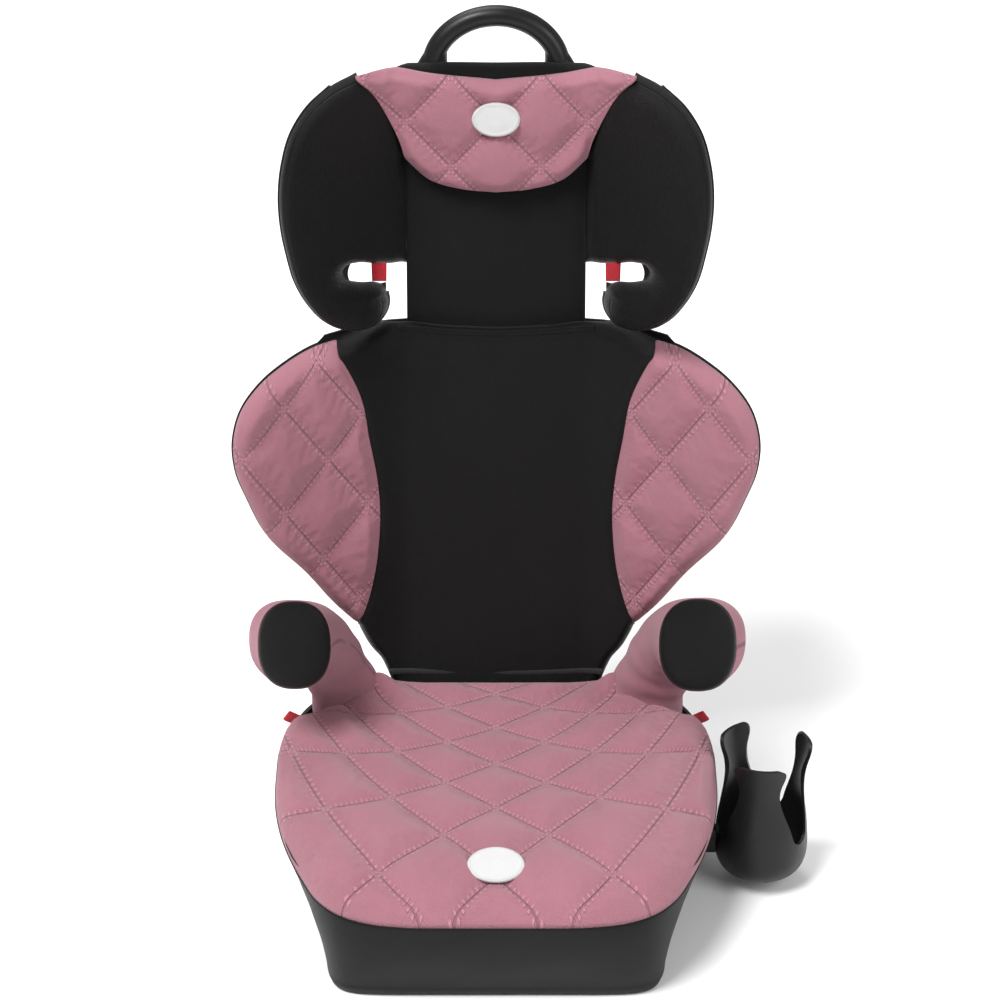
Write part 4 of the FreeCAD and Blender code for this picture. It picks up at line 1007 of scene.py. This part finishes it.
class BOOSTER_OT_head(bpy.types.Operator):
    """Headrest cover: quilted yoke, black wings with the belt slots, stem sleeve and rear rim"""

    bl_idname = "booster.head"
    bl_label = "Headrest cover"

    def execute(self, context):
        self.yoke()
        self.stem()
        self.crown()
        for side, name in ((1, "right"), (-1, "left")):
            self.wing_pad(side, name)
            piece = rim_strip("head_gusset_" + name, HEAD_EDGE[:-1], side, HEAD_SHELL, wrap=13.0)
            dress(piece, finish_named("black knit"), "headrest")
        return {"FINISHED"}

    def front(self, x):
        """The cover's front: flat across the middle, rising into the wings."""
        rise = wing(x, HEAD_FRONT)
        soft = 7.0
        return -soft * np.log(np.exp(-np.clip(rise, -300, 60) / soft) + np.exp(-YOKE_FRONT / soft))

    def yoke(self):
        outline = Outline([("foot", YOKE_FOOT), ("side", YOKE_SIDE), ("top", YOKE_TOP),
                           ("top", flipped(YOKE_TOP)), ("side", flipped(YOKE_SIDE)),
                           ("foot", flipped(YOKE_FOOT))],
                          mesh_spacing())
        flat, faces = outline.fill()
        x, s = flat.T
        top, side, foot = [outline.distance(flat, name) for name in ("top", "side", "foot")]
        border = outline.distance(flat, "top", "side", "foot")
        quilt = quilting(yoke_lattice, x, s)
        fade = smoothstep(border, 0, 9)
        front = self.front(x) - puff(quilt, settings().wing_puff * 1000) * fade
        last = np.minimum(wing(x, HEAD_FRONT) + 9.0, 12.0)
        edge = np.minimum(roll(top, 11), 0.45 + 0.55 * roll(foot, 12))
        t = last + (front - last) * edge + 1.8 * np.exp(-((side / 3.0) ** 2))
        piece = make_mesh("head_yoke", in_row(np.stack([x, t, s], 1)), faces, weave=flat, quilt=quilt)
        inflate(piece, sewn_down(quilt, (border, 2)))
        thicken(piece, 2.0)
        dress(piece, finish_named("pink quilted knit"), "headrest", ["head_pad_top"])

    def stem(self):
        """Sleeve over the stem, from under the yoke down behind the back cover."""
        s = np.arange(229, 466, 3.0)
        across = np.linspace(-STEM_HALF, STEM_HALF, 61)
        section = [(-STEM_HALF + 6, 24.0), (-STEM_HALF - 0.4, 22.6), (-STEM_HALF - 0.6, 19.0),
                   (-STEM_HALF - 0.2, 16.2)]
        rows, weave = [], []
        for height in s:
            bow = 1.0 * np.cos(across / STEM_HALF * math.pi / 2)
            fold = 0.35 * wander(across, np.full(61, height), 60, 9)
            t = STEM_FRONT + 0.6 - bow * 0.6 + fold * np.cos(across / STEM_HALF * math.pi / 2)
            t += 1.6 * (np.abs(across) / STEM_HALF) ** 12
            row = section + list(zip(across, t)) + flipped(section)
            rows.append([(x, d, height) for x, d in row])
            weave.append([(x, height) for x, _ in row])
        points = np.array(rows).reshape(-1, 3)
        faces = grid_faces(len(s), len(rows[0]))
        piece = make_mesh("stem_cover", in_row(points), faces, weave=np.array(weave).reshape(-1, 2))
        thicken(piece, 1.0)
        dress(piece, finish_named("black knit"), "headrest", ["head_pad_lower"])

    def wing_pad(self, side, name):
        runs = [("edge", HEAD_EDGE), ("seam", YOKE_SIDE[::-1]), ("crease", HEAD_CREASE), ("slot", SLOT_EDGE)]
        if side < 0:
            runs = [(run, flipped(points)) for run, points in reversed(runs)]
        outline = Outline(runs, mesh_spacing())
        flat, faces = outline.fill((0.35, 1.0, 2.0, 3.4, 5.2))
        x, s = flat.T
        edge, slot_gap = outline.distance(flat, "edge"), outline.distance(flat, "slot")
        seam, crease = outline.distance(flat, "seam"), outline.distance(flat, "crease")
        front = wing(x, HEAD_FRONT) - 1.0 * wander(x, s, 90, 13) * smoothstep(edge, 2, 25)
        last = wing(x, HEAD_SHELL)
        t = last + (front - last) * np.minimum(roll(edge, 22), roll(slot_gap, 14))
        t += 2.0 * np.exp(-((seam / 3.0) ** 2)) + (STEM_FRONT - 6.5) * np.exp(-((crease / 5.0) ** 2))
        t = np.minimum(t, 13.0 + 0.9 * seam + 2.5 * edge)
        rim = np.where(slot_gap < edge, 30.0, edge)
        piece = make_mesh("head_wing_" + name, in_row(np.stack([x, t, s], 1)), faces, weave=flat, rim=rim)
        thicken(piece, 2.0)
        dress(piece, finish_named("black knit"), "headrest", ["head_wing_pad_" + name])

    def crown(self):
        """Black strip along the top that joins the yoke to the rear rim."""
        top = flow(YOKE_TOP + flipped(YOKE_TOP)[1:], 3.0)
        x = top[:, 0]
        lift = 11.0 * np.cos(np.clip(x / 84, -1, 1) * math.pi / 2) - 3.0 * smoothstep(np.abs(x), 70, 100)
        start = np.minimum(wing(x, HEAD_FRONT) + 9.0, 12.0)
        end = wing(x, HEAD_SHELL)
        rows, weave = [], []
        # share of the way back, share of the lift, extra height
        steps = [(0.0, 0.05, -2.5), (0.15, 0.45, -0.5), (0.35, 0.8, 0.5), (0.6, 1.0, 1.0), (0.85, 1.05, 0.9),
                 (1.1, 0.95, 0.3), (1.3, 0.6, -1.0), (1.42, 0.0, -4.0), (1.45, 0.0, -12.0),
                 (1.45, 0.0, -20.0), (1.38, 0.0, -21.0)]
        for share, up, more in steps:
            t = start + (end - start) * share
            drop = 0.4 * (t - start) * smoothstep(np.abs(x), 72, 96)
            rows.append(in_row(np.stack([x, t, top[:, 1] + lift * up + more - drop], 1)))
            weave.append(np.c_[x, np.full(len(x), share * 25 + more)])
        faces = [f[::-1] for f in grid_faces(len(steps), len(x))]
        piece = make_mesh("head_crown", np.vstack(rows), faces, weave=np.vstack(weave))
        thicken(piece, 1.2)
        dress(piece, finish_named("black knit"), "headrest")


class BOOSTER_OT_trim(bpy.types.Operator):
    """Red belt tabs and the two plain oval patches"""

    bl_idname = "booster.trim"
    bl_label = "Tabs and patches"

    def execute(self, context):
        for side, name in ((1, "right"), (-1, "left")):
            low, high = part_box("shoulder_belt_tab_" + name)
            centre = (low + high) * 500
            root = (centre.x - side * 4, centre.y - 2, high.z * 1000 - 6)
            tab = ribbon_tab("shoulder_tab_" + name, root, (0, 0, -1), (0, -1, 0), 13.0, 17.0)
            dress(tab, finish_named("red ribbon"), "headrest", ["shoulder_belt_tab_" + name])
            low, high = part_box("lap_belt_tab_" + name)
            centre = (low + high) * 500
            root = (side * 171, centre.y, 108)
            tab = ribbon_tab("lap_tab_" + name, root, (side * 0.86, -0.1, 0.5), (0, -1, -0.2), 11.0, 15.0)
            dress(tab, finish_named("red ribbon"), "base", ["lap_belt_tab_" + name])
        seat = oval_patch("seat_patch", 48.0, 34.0)
        place_patch(seat, (0, SEAT_PATCH_Y, seat_patch_height(SEAT_PATCH_Y)), (0, -0.42, 1))
        dress(seat, finish_named("white patch"), "base")
        head = oval_patch("head_patch", 41.0, 29.5)
        spot = in_row([(0, YOKE_FRONT - 7.4, HEAD_PATCH_UP)])[0]
        place_patch(head, spot, BACK_FACING)
        dress(head, finish_named("white patch"), "headrest")
        return {"FINISHED"}


def seat_patch_height(y):
    edge = y - SEAT_EDGE[-1][1]
    seam = np.interp(y, *zip(*SEAM_HEIGHTS))
    top = seat_top(np.array([0.0]), np.array([y]))[0]
    return float(seam + seat_crown(np.array([edge]), top - seam)[0] + 6.8)


def ribbon_tab(name, root, along, facing, width, length):
    """A folded loop of ribbon: up one side, over, and back."""
    along = Vector(along).normalized()
    facing = Vector(facing).normalized()
    across = along.cross(facing).normalized()
    facing = across.cross(along).normalized()
    profile = [(0, 0.9), (length * 0.4, 1.1), (length * 0.75, 1.5), (length * 0.93, 1.2), (length, 0.0),
               (length * 0.93, -1.2), (length * 0.75, -1.4), (length * 0.4, -1.1), (0, -0.9)]
    profile = flow(profile, 0.8)
    columns = 9
    points, weave = [], []
    for along_by, off in profile:
        for j in range(columns):
            w = (j / (columns - 1) - 0.5) * width * (1 - 0.06 * along_by / length)
            p = Vector(root) + along * float(along_by) + facing * float(off) + across * w
            points.append(tuple(p))
            weave.append((w, along_by))
    faces = grid_faces(len(profile), columns)
    piece = make_mesh(name, np.array(points), faces, weave=np.array(weave))
    return thicken(piece, 0.7)


def oval_patch(name, width, height, rings=14, sides=96):
    """A thin domed oval with a raised stitched border."""
    points, weave = [(0.0, 0.0, 1.5)], [(0.0, 0.0)]
    for i in range(1, rings + 1):
        share = i / rings
        border = 0.55 * math.exp(-((share - 0.9) / 0.06) ** 2)
        z = 1.5 - 0.5 * share**2 + border - 1.6 * max(0.0, share - 0.94) / 0.06
        for j in range(sides):
            angle = 2 * math.pi * j / sides
            x, y = share * width / 2 * math.cos(angle), share * height / 2 * math.sin(angle)
            points.append((x, y, z))
            weave.append((x, share))
    faces = [[0, 1 + j, 1 + (j + 1) % sides] for j in range(sides)]
    for i in range(rings - 1):
        for j in range(sides):
            k = (j + 1) % sides
            a, b = 1 + i * sides, 1 + (i + 1) * sides
            faces.append([a + j, b + j, b + k, a + k])
    faces.append([1 + (rings - 1) * sides + j for j in reversed(range(sides))])
    return make_mesh(name, np.array(points), faces, weave=np.array(weave))


def place_patch(piece, centre, normal):
    normal = Vector(normal).normalized()
    across = Vector((1, 0, 0))
    up = normal.cross(across).normalized()
    mesh = piece.data
    for vertex in mesh.vertices:
        x, y, z = vertex.co * 1000
        vertex.co = (Vector(centre) + across * x + up * y + normal * z) * 0.001
    mesh.update()


class BOOSTER_OT_hardware(bpy.types.Operator):
    """Finishes of the moulded, steel and rubber parts"""

    bl_idname = "booster.hardware"
    bl_label = "Hardware finishes"

    def execute(self, context):
        slots = {p["node"]: p["material_slot"] for p in frame["record"]["subparts"]}
        for name, node in frame["nodes"].items():
            node.data.materials.clear()
            node.data.materials.append(finish_named(FINISH_OF_SLOT[slots[name]]))
        return {"FINISHED"}


class BOOSTER_OT_stage(bpy.types.Operator):
    """Pale floor, soft light and the camera"""

    bl_idname = "booster.stage"
    bl_label = "Stage"

    def execute(self, context):
        scene = context.scene
        floor = make_mesh("floor", [(-6000, -6000, -0.6), (6000, -6000, -0.6), (6000, 6000, -0.6),
                                    (-6000, 6000, -0.6)], [[0, 1, 2, 3]], smooth=False)
        n = Nodes("pale floor")
        tone = n.mix(n.noise(3.0), (0.90, 0.90, 0.90, 1), (0.93, 0.93, 0.93, 1))
        floor.data.materials.append(n.finish(tone, 0.8, n.noise(40.0), 0.0001))
        world = bpy.data.worlds.new("studio")
        world.use_nodes = True
        sky = world.node_tree.nodes["Background"]
        sky.inputs["Color"].default_value = (1, 1, 1, 1)
        sky.inputs["Strength"].default_value = WORLD_STRENGTH
        scene.world = world
        for name, kind, spot, aim, power in LAMPS:
            light = bpy.data.lights.new(name, kind)
            if kind == "SUN":
                light.angle = KEY_ANGLE
            else:
                light.shape = "DISK"
                light.size = LAMP_SIZE
            light.energy = power
            lamp = bpy.data.objects.new(name, light)
            scene.collection.objects.link(lamp)
            lamp.location = spot
            lamp.rotation_mode = "QUATERNION"
            lamp.rotation_quaternion = (Vector(aim) - Vector(spot)).to_track_quat("-Z", "Y")
        camera = bpy.data.cameras.new("camera")
        camera.lens = CAMERA_LENS
        camera.sensor_width = 36.0
        eye = bpy.data.objects.new("camera", camera)
        scene.collection.objects.link(eye)
        e = math.radians(CAMERA_ELEVATION)
        ahead = Vector((0, math.cos(e), -math.sin(e)))
        eye.location = (Vector(CAMERA_TARGET) - ahead * CAMERA_DISTANCE) * 0.001
        eye.rotation_mode = "QUATERNION"
        eye.rotation_quaternion = ahead.to_track_quat("-Z", "Y")
        camera.clip_end = 50
        scene.camera = eye
        scene.view_settings.view_transform = "Standard"
        scene.view_settings.look = "None"
        return {"FINISHED"}


class BOOSTER_PT_panel(bpy.types.Panel):
    """The booster seat's pieces"""

    bl_label = "Booster seat"
    bl_idname = "BOOSTER_PT_panel"
    bl_space_type = "VIEW_3D"
    bl_region_type = "UI"
    bl_category = "Booster"

    def draw(self, context):
        for name in BoosterSettings.__annotations__:
            self.layout.prop(context.scene.booster_seat, name)
        for operator in OPERATORS:
            self.layout.operator(operator.bl_idname)


OPERATORS = (BOOSTER_OT_stage, BOOSTER_OT_hardware, BOOSTER_OT_seat, BOOSTER_OT_skirt, BOOSTER_OT_arms,
             BOOSTER_OT_back, BOOSTER_OT_head, BOOSTER_OT_trim)


def register():
    bpy.utils.register_class(BoosterSettings)
    bpy.types.Scene.booster_seat = PointerProperty(type=BoosterSettings)
    for item in OPERATORS:
        bpy.utils.register_class(item)
    bpy.utils.register_class(BOOSTER_PT_panel)


def unregister():
    bpy.utils.unregister_class(BOOSTER_PT_panel)
    for item in reversed(OPERATORS):
        bpy.utils.unregister_class(item)
    del bpy.types.Scene.booster_seat
    bpy.utils.unregister_class(BoosterSettings)


def main():
    register()
    for operator in OPERATORS:
        group, name = operator.bl_idname.split(".")
        getattr(getattr(bpy.ops, group), name)()


if __name__ == "__main__":
    main()
